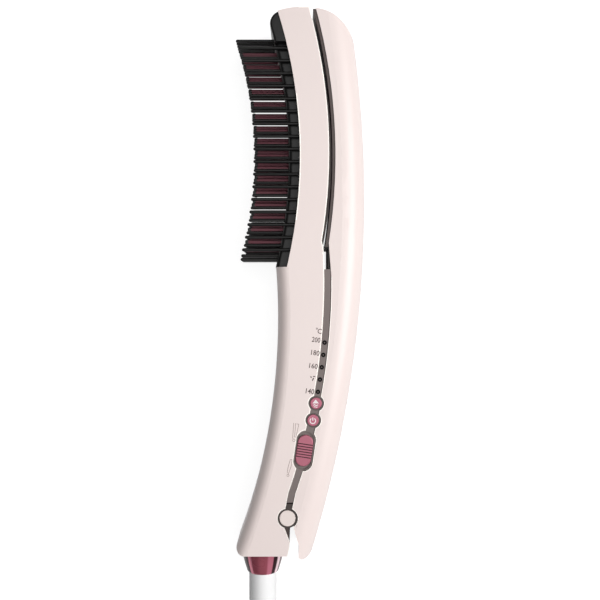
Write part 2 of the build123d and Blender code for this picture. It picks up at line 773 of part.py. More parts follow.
carrier_span = (seam_top_y + 0.6, plate_high_y)
front_carrier_back = -plate_thick - carrier_thick
with BuildPart() as front_carrier:
    add(plate_piece(FRONT_PLATE_BOW, carrier_span, carrier_low_z, carrier_depth, -plate_thick, front_carrier_back))
    with BuildSketch(Plane.XY.offset(carrier_low_z)):
        with BuildLine():
            Polyline(
                bow_point(FRONT_PLATE_BOW, carrier_span[0] + 1, front_carrier_back),
                bow_point(FRONT_PLATE_BOW, carrier_span[0] + 1, -plate_thick),
                bow_point(FRONT_PLATE_BOW, plate_low_y - 0.2, -plate_thick),
                (bow_point(GRIP_SEAM_BOW, strand_foot_y)[0] - 0.2, plate_low_y - 1),
                (bow_point(GRIP_SEAM_BOW, strand_foot_y)[0] - 0.2, strand_foot_y),
                (bow_point(GRIP_SEAM_BOW, strand_foot_y)[0] - carrier_thick, strand_foot_y),
                close=True,
            )
        make_face()
    extrude(amount=carrier_depth)
    add(
        plate_piece(FRONT_PLATE_BOW, heater_span, heater_low_z, heater_width, 0, front_back),
        mode=Mode.SUBTRACT,
    )
front_carrier.part.label = "front_carrier"
export_step(front_carrier.part, "parts/front_carrier.step")

strand_x = 14.15
strand_block_x = 13.1
strand_block_y = plate_low_y - 1.8
rear_carrier_back = plate_thick + carrier_thick
with BuildPart() as rear_carrier:
    add(
        plate_piece(
            REAR_PLATE_BOW, rear_carrier_span, carrier_low_z, carrier_depth, rear_carrier_back, plate_thick
        )
    )
    with BuildSketch(Plane.XY.offset(carrier_low_z)):
        with BuildLine():
            Polyline(
                (strand_x, strand_foot_y),
                (strand_x, strand_block_y),
                (strand_block_x, strand_block_y),
                (strand_block_x, strand_block_y + 1.0),
                bow_point(REAR_PLATE_BOW, plate_low_y + 1.2, plate_thick),
                bow_point(REAR_PLATE_BOW, plate_low_y + 1.2, rear_carrier_back),
                (strand_x + carrier_thick, strand_foot_y),
                close=True,
            )
        make_face()
    extrude(amount=carrier_depth)
    add(
        plate_piece(
            REAR_PLATE_BOW, (rear_plate_span[0], heater_span[0]), carrier_low_z, carrier_depth, plate_thick, -1
        ),
        mode=Mode.SUBTRACT,
    )
    add(
        plate_piece(REAR_PLATE_BOW, heater_span, heater_low_z, heater_width, rear_back, 0),
        mode=Mode.SUBTRACT,
    )
rear_carrier.part.label = "rear_carrier"
export_step(rear_carrier.part, "parts/rear_carrier.step")

with BuildPart() as comb_heater:
    add(
        plate_piece(
            FACE_BOW, comb_heater_span, comb_heater_low_z, comb_heater_width, comb_heater_back, comb_back
        )
    )
comb_heater.part.label = "comb_heater"
export_step(comb_heater.part, "parts/comb_heater.step")

sensor_y = 73.0
thermostat_size = (2.8, 8.0, 8.0)
for part_name, bow, height, shift, direction in (
    ("front_thermostat", FRONT_PLATE_BOW, sensor_y, front_carrier_back, -1),
    ("rear_thermal_fuse", REAR_PLATE_BOW, sensor_y, rear_carrier_back, 1),
):
    seat_x = bow_point(bow, height, shift)[0]
    with BuildPart() as sensor:
        with Locations((seat_x + direction * (thermostat_size[0] / 2 + 0.05), height, mid_z)):
            Box(*thermostat_size)
        fillet(sensor.edges().filter_by(Axis.X), 1.5)
    sensor.part.label = part_name
    export_step(sensor.part, f"parts/{part_name}.step")

# Controls: board, switches, lamps, windows, buttons and slider
board_low_y = -93.0
board_high_y = -16.0
with BuildPart() as circuit_board:
    with BuildSketch(Plane.XY.offset(board_bottom)):
        add(band(GRIP_SEAM_BOW, GRIP_SEAM_BOW, board_low_y, board_high_y, cover_web_x - 0.4, -14.2))
        with Locations(*board_post_points):
            Circle(screw_radius + 0.1, mode=Mode.SUBTRACT)
    extrude(amount=board_thick)
circuit_board.part.label = "circuit_board"
export_step(circuit_board.part, "parts/circuit_board.step")

with BuildPart() as board_screws:
    for point in board_post_points:
        with BuildSketch(Plane.XY.offset(board_bottom - 1.2)):
            with Locations(point):
                Circle(1.9)
        extrude(amount=1.2)
        with BuildSketch(Plane.XY.offset(board_bottom)):
            with Locations(point):
                Circle(screw_radius * 0.75)
        extrude(amount=5.0)
board_screws.part.label = "board_screws"
export_step(board_screws.part, "parts/board_screws.step")

tact_height = 3.6
tact_size = (3.2, 6.0)
tact_shift = 3.2
plunger_height = 0.7
stem_low_z = board_top + tact_height + plunger_height + button_travel + 0.2
with BuildPart() as tact_switches:
    for point in (button_1, button_2):
        with BuildSketch(Plane.XY.offset(board_top)):
            with Locations((point[0] - tact_shift, point[1])):
                Rectangle(*tact_size)
        extrude(amount=tact_height)
        with BuildSketch(Plane.XY.offset(board_top + tact_height)):
            with Locations((point[0] - stem_shift, point[1])):
                Circle(stem_radius - 0.2)
        extrude(amount=plunger_height)
tact_switches.part.label = "tact_switches"
export_step(tact_switches.part, "parts/tact_switches.step")

lamp_height = 3.0
lamp_shift = 1.5
with BuildPart() as indicator_lamps:
    for point in led_points:
        with BuildSketch(Plane.XY.offset(board_top)):
            with Locations((point[0] - lamp_shift, point[1])):
                Rectangle(1.8, 2.0)
        extrude(amount=lamp_height)
indicator_lamps.part.label = "indicator_lamps"
export_step(indicator_lamps.part, "parts/indicator_lamps.step")

with BuildPart() as lamp_windows:
    with BuildSketch(Plane.XY.offset(lip_underside - 0.3)):
        with Locations(*led_points):
            Circle(led_radius)
    extrude(amount=near_face_z + 0.1 - lip_underside + 0.3)
lamp_windows.part.label = "lamp_windows"
export_step(lamp_windows.part, "parts/lamp_windows.step")

button_top_z = body_width + 0.35
ring_inner = button_radius + 0.1
for name, point in (("temperature_button", button_1), ("power_button", button_2)):
    with BuildPart() as button:
        with BuildSketch(Plane.XY.offset(land_plate_top + button_travel + 0.2)):
            with Locations(point):
                Circle(button_radius)
        extrude(amount=button_top_z - land_plate_top - button_travel - 0.2)
        fillet(button.edges().group_by(Axis.Z)[-1], 0.4)
        with BuildSketch(Plane.XY.offset(stem_low_z)):
            with Locations((point[0] - stem_shift, point[1])):
                Circle(stem_radius)
        extrude(amount=land_plate_top + button_travel + 0.3 - stem_low_z)
    button.part.label = name
    export_step(button.part, f"parts/{name}.step")

with BuildPart() as button_rings:
    with BuildSketch(Plane.XY.offset(land_plate_top)):
        with Locations(button_1, button_2):
            Circle(ring_radius - 0.05)
        with Locations(button_1, button_2):
            Circle(ring_inner, mode=Mode.SUBTRACT)
    extrude(amount=near_face_z + 0.1 - land_plate_top)
button_rings.part.label = "button_rings"
export_step(button_rings.part, "parts/button_rings.step")

rib_pitch = 1.32
rib_count = 6
slide_switch_height = 2.2
slide_switch_shift = 3.4
with BuildPart() as mode_slider:
    with BuildSketch(slider_plane):
        SlotOverall(slider_length, slider_width)
    extrude(amount=1.5)
    fillet(mode_slider.edges().group_by(Axis.Z)[-1], 0.5)
    with BuildSketch(slider_plane.offset(1.1)):
        with GridLocations(rib_pitch, 0, rib_count, 1):
            Rectangle(0.55, slider_width + 1)
    extrude(amount=1.0, mode=Mode.SUBTRACT)
    with BuildSketch(slider_plane):
        with Locations((0, stem_shift)):
            SlotOverall(stem_length, stem_width)
    extrude(amount=-(near_face_z - 0.95 - board_top - slide_switch_height - 0.4))
mode_slider.part.label = "mode_slider"
export_step(mode_slider.part, "parts/mode_slider.step")

with BuildPart() as slide_switch:
    with BuildSketch(slider_plane.offset(board_top - near_face_z + 0.95)):
        with Locations((0, slide_switch_shift)):
            Rectangle(13.0, 4.6)
    extrude(amount=slide_switch_height)
slide_switch.part.label = "slide_switch"
export_step(slide_switch.part, "parts/slide_switch.step")

board_parts_points = [(-4.2, -40.0, 7.0, 5.0, 6.0), (-2.0, -28.0, 5.0, 8.0, 4.0), (-6.5, -80.0, 6.0, 9.0, 5.0)]
with BuildPart() as power_parts:
    for x, y, size_x, size_y, size_z in board_parts_points:
        with Locations((x, y, board_bottom - size_z / 2)):
            Box(size_x, size_y, size_z)
power_parts.part.label = "power_parts"
export_step(power_parts.part, "parts/power_parts.step")

with BuildPart() as front_screws:
    for height in front_boss_heights:
        seat = seat_plane(GRIP_SEAM_BOW, height, strip_thick - seat_gap, -1)
        with BuildSketch(seat):
            Circle(screw_radius - thread_gap)
        extrude(amount=front_screw_length)
        with BuildSketch(seat):
            Circle(head_radius)
        extrude(amount=head_thick)
front_screws.part.label = "front_screws"
export_step(front_screws.part, "parts/front_screws.step")


# Rear arm: shell, liner with the hinge knuckle, and screws
liner_thick = 2.0
liner_inset = 0.2
with BuildSketch() as rear_space_area:
    with BuildLine():
        space_top = bow_point(REAR_SEAM_BOW, rear_top_y - 2.4, -1.0)
        space_back = bow_point(BACK_BOW, rear_back_y - 1.4, -wall)
        ThreePointArc(space_top, (rear_round_point[0] - 1.4, rear_round_point[1] - 1.9), space_back)
        ThreePointArc(*bow_arc(BACK_BOW, rear_back_y - 1.4, tail_back_y + 1.6, -wall))
        Polyline(
            bow_point(BACK_BOW, tail_back_y + 1.6, -wall),
            (tail_tip[0] + 1.6, rear_bottom_y + 2.2),
            (tail_inner_tip[0] - 1, rear_bottom_y + 2.2),
            (tail_knee[0] - 1, tail_knee[1]),
            (tail_top[0] - 1, tail_top[1]),
            (rear_gap_x - 1, hinge_gap_top),
            bow_point(GRIP_REAR_BOW, seam_straight_y, -1),
        )
        ThreePointArc(*bow_arc(GRIP_REAR_BOW, seam_straight_y, strip_top_y - 4, -1))
        Line(bow_point(GRIP_REAR_BOW, strip_top_y - 4, -1), bow_point(REAR_SEAM_BOW, seam_step_y, -1))
        ThreePointArc(*bow_arc(REAR_SEAM_BOW, seam_step_y, rear_top_y - 2.4, -1.0))
    make_face()

with BuildPart() as rear_space:
    add(rear_space_area.sketch)
    extrude(amount=body_width - 2 * wall)
rear_space_body = Pos(0, 0, wall) * rear_space.part
rear_space_body = rear_space_body & back_space

with BuildPart() as rear_shell:
    add(rear_area)
    extrude(amount=body_width)
    add(back_form, mode=Mode.INTERSECT)
    add(rear_space_body, mode=Mode.SUBTRACT)
    for height in rear_boss_heights:
        seat = seat_plane(GRIP_REAR_BOW, height, liner_inset + liner_thick + seat_gap)
        with BuildSketch(seat):
            Circle(boss_radius)
        extrude(amount=wall_reach(seat, BACK_BOW, -wall / 2))
        with BuildSketch(seat):
            Circle(screw_radius)
        extrude(amount=rear_screw_length, mode=Mode.SUBTRACT)
    with BuildSketch(Plane.XY.offset(body_width - wall)):
        add(rear_land_hole)
    extrude(amount=wall, mode=Mode.SUBTRACT)
    with BuildSketch():
        with Locations(hinge_spot):
            Circle(lug_radius + running_gap)
    extrude(amount=body_width, mode=Mode.SUBTRACT)
rear_shell.part.label = "rear_shell"
export_step(rear_shell.part, "parts/rear_shell.step")

inner_low_z = wall + 0.2
inner_depth = body_width - 2 * inner_low_z
land_notch_low = -92.0
land_notch_high = -43.0
tail_low_z = 7.0
with BuildPart() as rear_liner:
    with BuildSketch(Plane.XY.offset(inner_low_z)):
        add(
            band(
                GRIP_REAR_BOW,
                GRIP_REAR_BOW,
                seam_straight_y,
                strip_top_y - 0.4,
                liner_inset + liner_thick,
                liner_inset,
            )
        )
        with BuildLine():
            Polyline(
                bow_point(GRIP_REAR_BOW, seam_straight_y, liner_inset),
                (rear_gap_x + 0.4, hinge_gap_top + 1),
                (rear_gap_x + 3.4, hinge_gap_top + 1),
                bow_point(GRIP_REAR_BOW, seam_straight_y, liner_inset + liner_thick),
                close=True,
            )
        make_face()
    extrude(amount=inner_depth)
    with BuildSketch(Plane.XY.offset(tail_low_z)):
        with BuildLine():
            Polyline(
                (tail_top[0] + 0.3, tail_top[1]),
                (tail_knee[0] + 0.2, tail_knee[1]),
                (tail_inner_tip[0] + 0.2, rear_bottom_y + 2.4),
                (tail_inner_tip[0] + 1.7, rear_bottom_y + 2.4),
                (tail_knee[0] + 1.7, tail_knee[1]),
                (tail_top[0] + 2.0, tail_top[1]),
                close=True,
            )
        make_face()
    extrude(amount=body_width - 2 * tail_low_z)
    with BuildSketch(Plane.XY.offset(knuckle_low)):
        with Locations(hinge_spot):
            Circle(knuckle_radius)
        with BuildLine():
            Polyline(
                (hinge_x, hinge_y + knuckle_radius),
                (rear_gap_x + 1.0, hinge_gap_top + 2),
                (rear_gap_x + 4.2, hinge_gap_top + 2),
                (tail_top[0] + 2.0, tail_top[1]),
                (tail_top[0] + 0.3, tail_top[1]),
                (hinge_x, hinge_y - knuckle_radius),
                close=True,
            )
        make_face()
    extrude(amount=knuckle_high - knuckle_low)
    with BuildSketch(Plane.XY.offset(knuckle_low)):
        with Locations(hinge_spot):
            Circle(pin_radius + pin_bore_gap)
    extrude(amount=knuckle_high - knuckle_low, mode=Mode.SUBTRACT)
    with BuildSketch(Plane.XY.offset(land_plate_top - land_plate_thick - 0.5)):
        with Locations((4.0, (land_notch_low + land_notch_high) / 2)):
            Rectangle(30.0, land_notch_high - land_notch_low)
    extrude(amount=10.0, mode=Mode.SUBTRACT)
    for height in rear_boss_heights:
        seat = seat_plane(GRIP_REAR_BOW, height, -1.0)
        with BuildSketch(seat):
            Circle(screw_radius + seat_gap)
        extrude(amount=liner_thick + 2, mode=Mode.SUBTRACT)
        with BuildSketch(seat):
            Circle(head_radius + seat_gap)
        extrude(amount=1 + liner_inset + head_thick + 2 * seat_gap, mode=Mode.SUBTRACT)
rear_liner.part.label = "rear_liner"
export_step(rear_liner.part, "parts/rear_liner.step")

with BuildPart() as rear_screws:
    for height in rear_boss_heights:
        seat = seat_plane(GRIP_REAR_BOW, height, liner_inset + seat_gap)
        with BuildSketch(seat):
            Circle(screw_radius - thread_gap)
        extrude(amount=rear_screw_length)
        with BuildSketch(seat):
            Circle(head_radius)
        extrude(amount=head_thick)
rear_screws.part.label = "rear_screws"
export_step(rear_screws.part, "parts/rear_screws.step")


# Wires inside, and the cord's tube: straight runs joined by tangent arcs
def route_radii(points, share=0.45):
    """Largest arc at each inner corner: a share of the shorter run over tan of half the turn."""
    radii = []
    for before, corner, after in zip(points, points[1:], points[2:]):
        run_in = Vector(*corner) - Vector(*before)
        run_out = Vector(*after) - Vector(*corner)
        half_turn = radians(run_in.get_angle(run_out)) / 2
        radii.append(share * min(run_in.length, run_out.length) / tan(half_turn))
    return radii


def tube(points, diameter, name):
    """Round tube along a route, with its length, radii and volume printed."""
    radii = route_radii(points)
    with BuildPart(mode=Mode.PRIVATE) as piece:
        with BuildLine() as path:
            FilletPolyline(*points, radius=radii)
        wire = path.wires()[0]
        with BuildSketch(Plane(origin=wire @ 0, z_dir=wire % 0)):
            Circle(diameter / 2)
        sweep(path=wire)
    expected = pi * diameter**2 / 4 * wire.length
    print(
        name, "length", round(wire.length, 1), "radii", [round(r, 1) for r in radii],
        "volume ratio", round(piece.part.volume / expected, 4),
    )
    return piece.part


wire_z = 16.6
wire_diameter = 1.6
wire_gap = 2.0
board_drop = 4.0
supply_route = [
    (-20.6, -118.0, mid_z),
    (-20.4, -106.0, mid_z),
    (-17.0, -96.0, mid_z - 0.6),
    (-13.0, -88.0, board_bottom - board_drop),
    (-13.0, -88.0, board_bottom),
]
heater_route = [
    (-1.0, -22.0, board_bottom),
    (-1.0, -22.0, board_bottom - board_drop),
    (1.5, -12.0, wire_z),
    (3.0, 2.0, wire_z),
    (4.4, 18.0, wire_z + 0.6),
    (5.8, 33.0, wire_z + 1.0),
    (bow_point(FRONT_PLATE_BOW, 48.0, front_carrier_back)[0] - wire_diameter / 2 - 1.2, 48.0, mid_z),
]
comb_route = [
    (-5.0, -20.0, board_bottom),
    (-5.0, -20.0, board_bottom - board_drop),
    (-4.4, -10.0, wire_z),
    (-3.4, 2.0, wire_z),
    (-1.4, 15.0, wire_z),
    (0.4, 26.0, wire_z + 0.4),
    (bow_point(FACE_BOW, 38.0, flange_thick)[0] + wire_diameter / 2 + 1.2, 38.0, wire_z),
]
rear_route = [
    (3.4, -103.0, mid_z),
    (6.8, -88.0, mid_z),
    (12.2, -64.0, mid_z),
    (17.2, -38.0, mid_z),
    (20.2, -6.0, mid_z),
    (21.2, 22.0, mid_z),
    (bow_point(REAR_PLATE_BOW, 48.0, rear_carrier_back)[0] + wire_diameter / 2 + 0.15, 48.0, mid_z),
]


wire_sets = (
    ("heater_wires", heater_route, (1, 0, 0)),
    ("comb_wires", comb_route, (1, 0, 0)),
    ("rear_wires", rear_route, (0, 0, 1)),
    ("supply_wires", supply_route, (1, 0, 0)),
)
for name, route, side_way in wire_sets:
    pair = []
    for offset in (-wire_gap / 2, wire_gap / 2):
        moved = [Vector(*point) + Vector(*side_way) * offset for point in route]
        pair.append(tube([tuple(point) for point in moved], wire_diameter, name))
    export_step(Compound(label=name, children=pair), f"parts/{name}.step")

# Cord exit: collar, clamp and strain relief about one axis
collar_axis = Axis((collar_x, 0, mid_z), (0, 1, 0))
collar_plane = Plane((collar_x, 0, mid_z), x_dir=(1, 0, 0), z_dir=(0, 0, 1))
collar_low_y = front_bottom_y - collar_length
neck_radius = 4.6
flange_radius = 7.0
collar_neck_radius = collar_top_radius - 2.1
collar_seat = front_bottom_y + wall
collar_gap = 0.15

with BuildPart() as cord_collar:
    with BuildSketch(collar_plane):
        with BuildLine():
            Line((neck_radius + 0.1, collar_seat + 1.4), (neck_radius + 0.1, collar_low_y))
            Line((neck_radius + 0.1, collar_low_y), (collar_bottom_radius - 0.3, collar_low_y))
            RadiusArc(
                (collar_bottom_radius - 0.3, collar_low_y), (collar_bottom_radius + 0.9, collar_low_y + 1.6), -2.0
            )
            ThreePointArc(
                (collar_bottom_radius + 0.9, collar_low_y + 1.6),
                (collar_top_radius - 1.8, collar_low_y + 7.3),
                (collar_top_radius - 0.7, front_bottom_y - collar_gap),
            )
            Polyline(
                (collar_top_radius - 0.7, front_bottom_y - collar_gap),
                (collar_neck_radius, front_bottom_y - collar_gap),
                (collar_neck_radius, collar_seat + 1.4),
                (neck_radius + 0.1, collar_seat + 1.4),
            )
        make_face()
    revolve(axis=collar_axis)
cord_collar.part.label = "cord_collar"
export_step(cord_collar.part, "parts/cord_collar.step")

boot_low_y = collar_low_y - boot_length
boot_tip_radius = cord_diameter / 2 + 1.1
boot_plain = 14.0
groove_count = 7
groove_depth = 0.9
with BuildPart() as strain_relief:
    with BuildSketch(collar_plane):
        with BuildLine():
            Polyline(
                (0, collar_seat + 3.4),
                (flange_radius, collar_seat + 3.4),
                (flange_radius, collar_seat + 1.45),
                (neck_radius, collar_seat + 1.45),
                (neck_radius, collar_low_y - 0.05),
                (boot_radius, collar_low_y - 0.05),
                (boot_radius, collar_low_y - boot_plain),
                (boot_tip_radius, boot_low_y),
                (0, boot_low_y),
                close=True,
            )
        make_face()
    revolve(axis=collar_axis)
    for index in range(groove_count):
        groove_y = collar_low_y - boot_plain - 3.0 - index * (boot_length - boot_plain - 6.0) / groove_count
        outer = boot_radius - (boot_radius - boot_tip_radius) * (
            (collar_low_y - boot_plain - groove_y) / (boot_length - boot_plain)
        )
        with BuildSketch(Plane.XZ.offset(-groove_y)):
            with Locations((collar_x, mid_z)):
                Circle(outer + 1)
                Circle(outer - groove_depth, mode=Mode.SUBTRACT)
        extrude(amount=1.4, mode=Mode.SUBTRACT)
strain_relief.part.label = "strain_relief"
export_step(strain_relief.part, "parts/strain_relief.step")

clamp_size = (13.0, 4.0, 9.0)
clamp_y = collar_seat + 3.45 + clamp_size[1] / 2
with BuildPart() as cord_clamp:
    with Locations((collar_x, clamp_y, mid_z)):
        Box(*clamp_size)
    fillet(cord_clamp.edges().filter_by(Axis.Y), 1.5)
    with Locations((collar_x - 1, clamp_y, mid_z)):
        Box(5.0, clamp_size[1], 2.2, mode=Mode.SUBTRACT)
cord_clamp.part.label = "cord_clamp"
export_step(cord_clamp.part, "parts/cord_clamp.step")

# Cord: free lead, then a round coil of two layers, its tie and the plug
cord_radius = cord_diameter / 2
coil_outer_radius = coil_inner_radius + coil_pitch * coil_turns
lead_step = 16.0
coil_centre = (18.0, boot_low_y - 5 * lead_step)
layer_1_z = coil_lift + cord_radius
layer_2_z = layer_1_z + cord_diameter + coil_layer_gap
coil_start = (coil_centre[0] - coil_outer_radius, coil_centre[1], layer_1_z)
lead_route = [
    (collar_x, boot_low_y, mid_z),
    (collar_x, boot_low_y - lead_step, mid_z),
    (collar_x - 1.2, boot_low_y - 2 * lead_step, 12.4),
    (collar_x - 5.0, boot_low_y - 3 * lead_step, layer_1_z + 1.0),
    (coil_start[0], boot_low_y - 4 * lead_step, layer_1_z),
    coil_start,
]
cord_lead = tube(lead_route, cord_diameter, "cord_lead")
cord_lead.label = "cord_lead"
export_step(cord_lead, "parts/cord_lead.step")


def coil_node(angle):
    """Point and direction of the coil after turning by angle from its start."""
    layer_angle = 2 * pi * coil_turns
    if angle <= layer_angle:
        radius, z = coil_outer_radius - coil_pitch * angle / (2 * pi), layer_1_z
    else:
        radius = coil_inner_radius + coil_pitch * max(0.0, angle - layer_angle - pi) / (2 * pi)
        z = layer_2_z
    growth = 0.0
    if 0.1 < angle < layer_angle + 0.1:
        growth = -coil_pitch / (2 * pi)
    if angle > layer_angle + 0.1:
        growth = coil_pitch / (2 * pi)
    turn = pi + angle
    point = Vector(coil_centre[0] + radius * cos(turn), coil_centre[1] + radius * sin(turn), z)
    slope = Vector(growth * cos(turn) - radius * sin(turn), growth * sin(turn) + radius * cos(turn), 0)
    return point, slope.normalized()


def biarc_joint(start, start_way, end, end_way):
    """Middle point of the two arcs that join two points with given directions."""
    chord = end - start
    ways = start_way + end_way
    a = 2 * (start_way.dot(end_way) - 1)
    b = -2 * chord.dot(ways)
    c = chord.dot(chord)
    reach = (-b - sqrt(b * b - 4 * a * c)) / (2 * a)
    return (start + start_way * reach + end - end_way * reach) * 0.5


half_turns = 4 * coil_turns + 1
coil_nodes = [coil_node(pi * index) for index in range(half_turns + 1)]
with BuildPart() as cord_coil:
    with BuildLine() as coil_line:
        for (start, start_way), (end, end_way) in zip(coil_nodes, coil_nodes[1:]):
            joint = biarc_joint(start, start_way, end, end_way)
            first = TangentArc(start, joint, tangent=start_way)
            TangentArc(joint, end, tangent=first % 1)
        last_node, last_way = coil_nodes[-1]
        last_arc = TangentArc(last_node, coil_node(pi * half_turns + coil_extra_turn)[0], tangent=last_way)
        turn_back = atan2(-(last_arc % 1).X, (last_arc % 1).Y)
        bend_shift = Vector(-tail_bend * (1 - cos(turn_back)), tail_bend * sin(turn_back), 0)
        tail_arc = TangentArc(last_arc @ 1, last_arc @ 1 + bend_shift, tangent=last_arc % 1)
        coil_end = tail_arc @ 1
        end_direction = tail_arc % 1
        Line(coil_end, coil_end + end_direction * coil_tail)
        print("coil leaves at", [round(v, 3) for v in last_arc @ 1], "bend ends at", [round(v, 3) for v in coil_end])
    coil_wire = coil_line.wires()[0]
    with BuildSketch(Plane(origin=coil_wire @ 0, z_dir=coil_wire % 0)):
        Circle(cord_radius)
    sweep(path=coil_wire)
cord_coil.part.label = "cord_coil"
export_step(cord_coil.part, "parts/cord_coil.step")

sample_count = 900
samples = [coil_wire @ (index / sample_count) for index in range(sample_count + 1)]
sample_step = coil_wire.length / sample_count
apart = int(5 * cord_diameter / sample_step)
least_gap = min(
    (samples[i] - samples[j]).length for i in range(0, sample_count, 3) for j in range(i + apart, sample_count + 1)
) - cord_diameter
print("coil length", round(coil_wire.length, 1), "least gap", round(least_gap, 2))
print("coil volume ratio", round(cord_coil.part.volume / (pi * cord_radius**2 * coil_wire.length), 4))

plug_tip = coil_end + end_direction * coil_tail
plug_sleeve = 20.0
plug_sleeve_radius = 4.2
plug_wall = 0.8
plug_corner = 9.0
plug_half_thick = layer_2_z
pin_spacing = 19.0
plug_pin_radius = 2.4
plug_pin_length = 19.0
pin_round = 1.0


def plug_plane(distance):
    """Plane across the plug at a distance from the end of the cord, facing the pins."""
    return Plane(
        plug_tip + end_direction * distance,
        x_dir=(end_direction.Y, -end_direction.X, 0),
        z_dir=end_direction,
    )


with BuildPart() as plug_body:
    with BuildSketch(plug_plane(0)):
        Circle(cord_radius + plug_wall)
    with BuildSketch(plug_plane(plug_sleeve)):
        Circle(plug_sleeve_radius + plug_wall)
    loft()
    with BuildSketch(plug_plane(plug_sleeve)):
        RectangleRounded(plug_width * 0.62, plug_half_thick * 2 - 6.0, plug_corner - 3.0)
    with BuildSketch(plug_plane(plug_sleeve + plug_length)):
        RectangleRounded(plug_width, plug_half_thick * 2, plug_corner)
    loft()
plug_body.part.label = "plug_body"
export_step(plug_body.part, "parts/plug_body.step")

plug_face = plug_plane(plug_sleeve + plug_length)
pins = []
for side in (-1, 1):
    pin_root = plug_face.from_local_coords((side * pin_spacing / 2, 0, 0))
    with BuildPart(mode=Mode.PRIVATE) as pin:
        with BuildSketch(Plane(pin_root, x_dir=plug_face.x_dir, z_dir=plug_face.z_dir)):
            Circle(plug_pin_radius)
        extrude(amount=plug_pin_length)
        fillet(pin.faces().sort_by(Axis(pin_root, end_direction))[-1].edges(), pin_round)
    pins.append(pin.part)
    print("pin root", [round(v, 4) for v in pin_root])
export_step(Compound(label="plug_pins", children=pins), "parts/plug_pins.step")
print("plug tip", [round(v, 4) for v in plug_tip], "way", [round(v, 5) for v in end_direction])

tie_thick = 0.8
tie_width = 8.0
tie_gap = coil_lift - tie_thick
tie_inner_y = coil_centre[1] + coil_inner_radius + 0.25 * coil_pitch - cord_radius - 0.9
tie_outer_y = coil_centre[1] + coil_outer_radius - 0.75 * coil_pitch + cord_radius + 0.3
tie_top_z = layer_2_z + cord_radius + tie_gap
tie_middle = ((tie_inner_y + tie_outer_y) / 2, (tie_top_z + tie_thick) / 2)
with BuildPart() as cord_tie:
    with BuildSketch(Plane((coil_centre[0] - tie_width / 2, 0, 0), x_dir=(0, 1, 0), z_dir=(1, 0, 0))):
        with Locations(tie_middle):
            RectangleRounded(tie_outer_y - tie_inner_y + 2 * tie_thick, tie_top_z + tie_thick, 2.4)
            RectangleRounded(
                tie_outer_y - tie_inner_y, tie_top_z - tie_thick, 1.6, mode=Mode.SUBTRACT
            )
    extrude(amount=tie_width)
cord_tie.part.label = "cord_tie"
export_step(cord_tie.part, "parts/cord_tie.step")
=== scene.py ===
# %% [markdown]
# # A hair straightening brush, dressed over its solids
# The straightener lies on its side. One arm carries the brush and the controls, the other
# closes against it like tongs. The solids already have their shape and place, so this lesson
# adds what the eye sees: finishes, printed marks, a painted highlight on edges, painted
# reflections on the collar, painted shade in the slider's grooves, the cord, and the light.
# Everything is in metres: X from the teeth to the back, Y towards the brush head, Z up.

# %% Load the solids
import bpy
import bmesh
import json
import math
from mathutils import Matrix, Vector


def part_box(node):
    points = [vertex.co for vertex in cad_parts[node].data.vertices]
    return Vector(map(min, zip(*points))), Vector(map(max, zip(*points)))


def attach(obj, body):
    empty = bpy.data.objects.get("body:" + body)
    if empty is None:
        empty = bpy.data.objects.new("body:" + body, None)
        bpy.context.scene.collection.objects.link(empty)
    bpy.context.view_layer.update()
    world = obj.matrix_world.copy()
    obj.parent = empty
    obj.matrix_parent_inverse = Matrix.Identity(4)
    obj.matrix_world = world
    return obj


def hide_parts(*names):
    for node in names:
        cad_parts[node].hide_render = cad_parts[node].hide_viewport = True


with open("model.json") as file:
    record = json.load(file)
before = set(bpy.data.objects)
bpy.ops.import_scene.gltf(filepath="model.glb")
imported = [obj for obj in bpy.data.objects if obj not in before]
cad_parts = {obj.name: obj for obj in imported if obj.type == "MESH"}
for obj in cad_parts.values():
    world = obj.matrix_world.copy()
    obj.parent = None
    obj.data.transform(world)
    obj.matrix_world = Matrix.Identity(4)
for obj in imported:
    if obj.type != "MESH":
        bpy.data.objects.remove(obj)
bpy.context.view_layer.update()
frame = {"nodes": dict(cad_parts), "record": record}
nodes = frame["nodes"]
mm = 0.001

# %% [markdown]
# ## The camera
# The photograph looks straight down on the side with the controls. A real lens close to a
# long object shows the top a little larger than the floor, so a perspective camera is used.
# Its lens is guessed, a common 50 mm on a 36 mm sensor, and its height is where both arms fill
# the frame as they do there.

# %% Camera over the object
camera_height = 459.5 * mm
camera_data = bpy.data.cameras.new("view_from_above")
camera_data.lens = 50.0
camera_data.sensor_width = 36.0
camera_data.clip_start = 0.01
camera = bpy.data.objects.new("view_from_above", camera_data)
camera.location = (0.0, 0.0, camera_height)
bpy.context.scene.collection.objects.link(camera)
bpy.context.scene.camera = camera
bpy.context.scene.view_settings.view_transform = "Standard"
print("camera height:", camera_height)

# %% [markdown]
# ## The cord
# The photograph stops just below the collar, so the whole cord is guessed. A mains lead
# leaves the boot, sinks to the table and is wound into a neat round coil of two layers. A
# curve with few control points bends as smoothly as rubber does, so the lead is one NURBS
# spline: its free run is a handful of points, and each turn has two dozen.

# %% Route of the free run
cord_diameter = 5.6 * mm
lead_points = [
    (-19.6, -195.3, 18.5),
    (-19.6, -211.3, 18.5),
    (-20.8, -227.3, 12.4),
    (-24.6, -243.3, 4.7),
    (-28.3, -259.3, 3.7),
]
coil_centre = (18.0, -275.3)
coil_layers = (3.7, 9.9)
coil_inner_radius, coil_pitch, coil_turns = 20.9, 6.35, 4
points_per_turn = 24


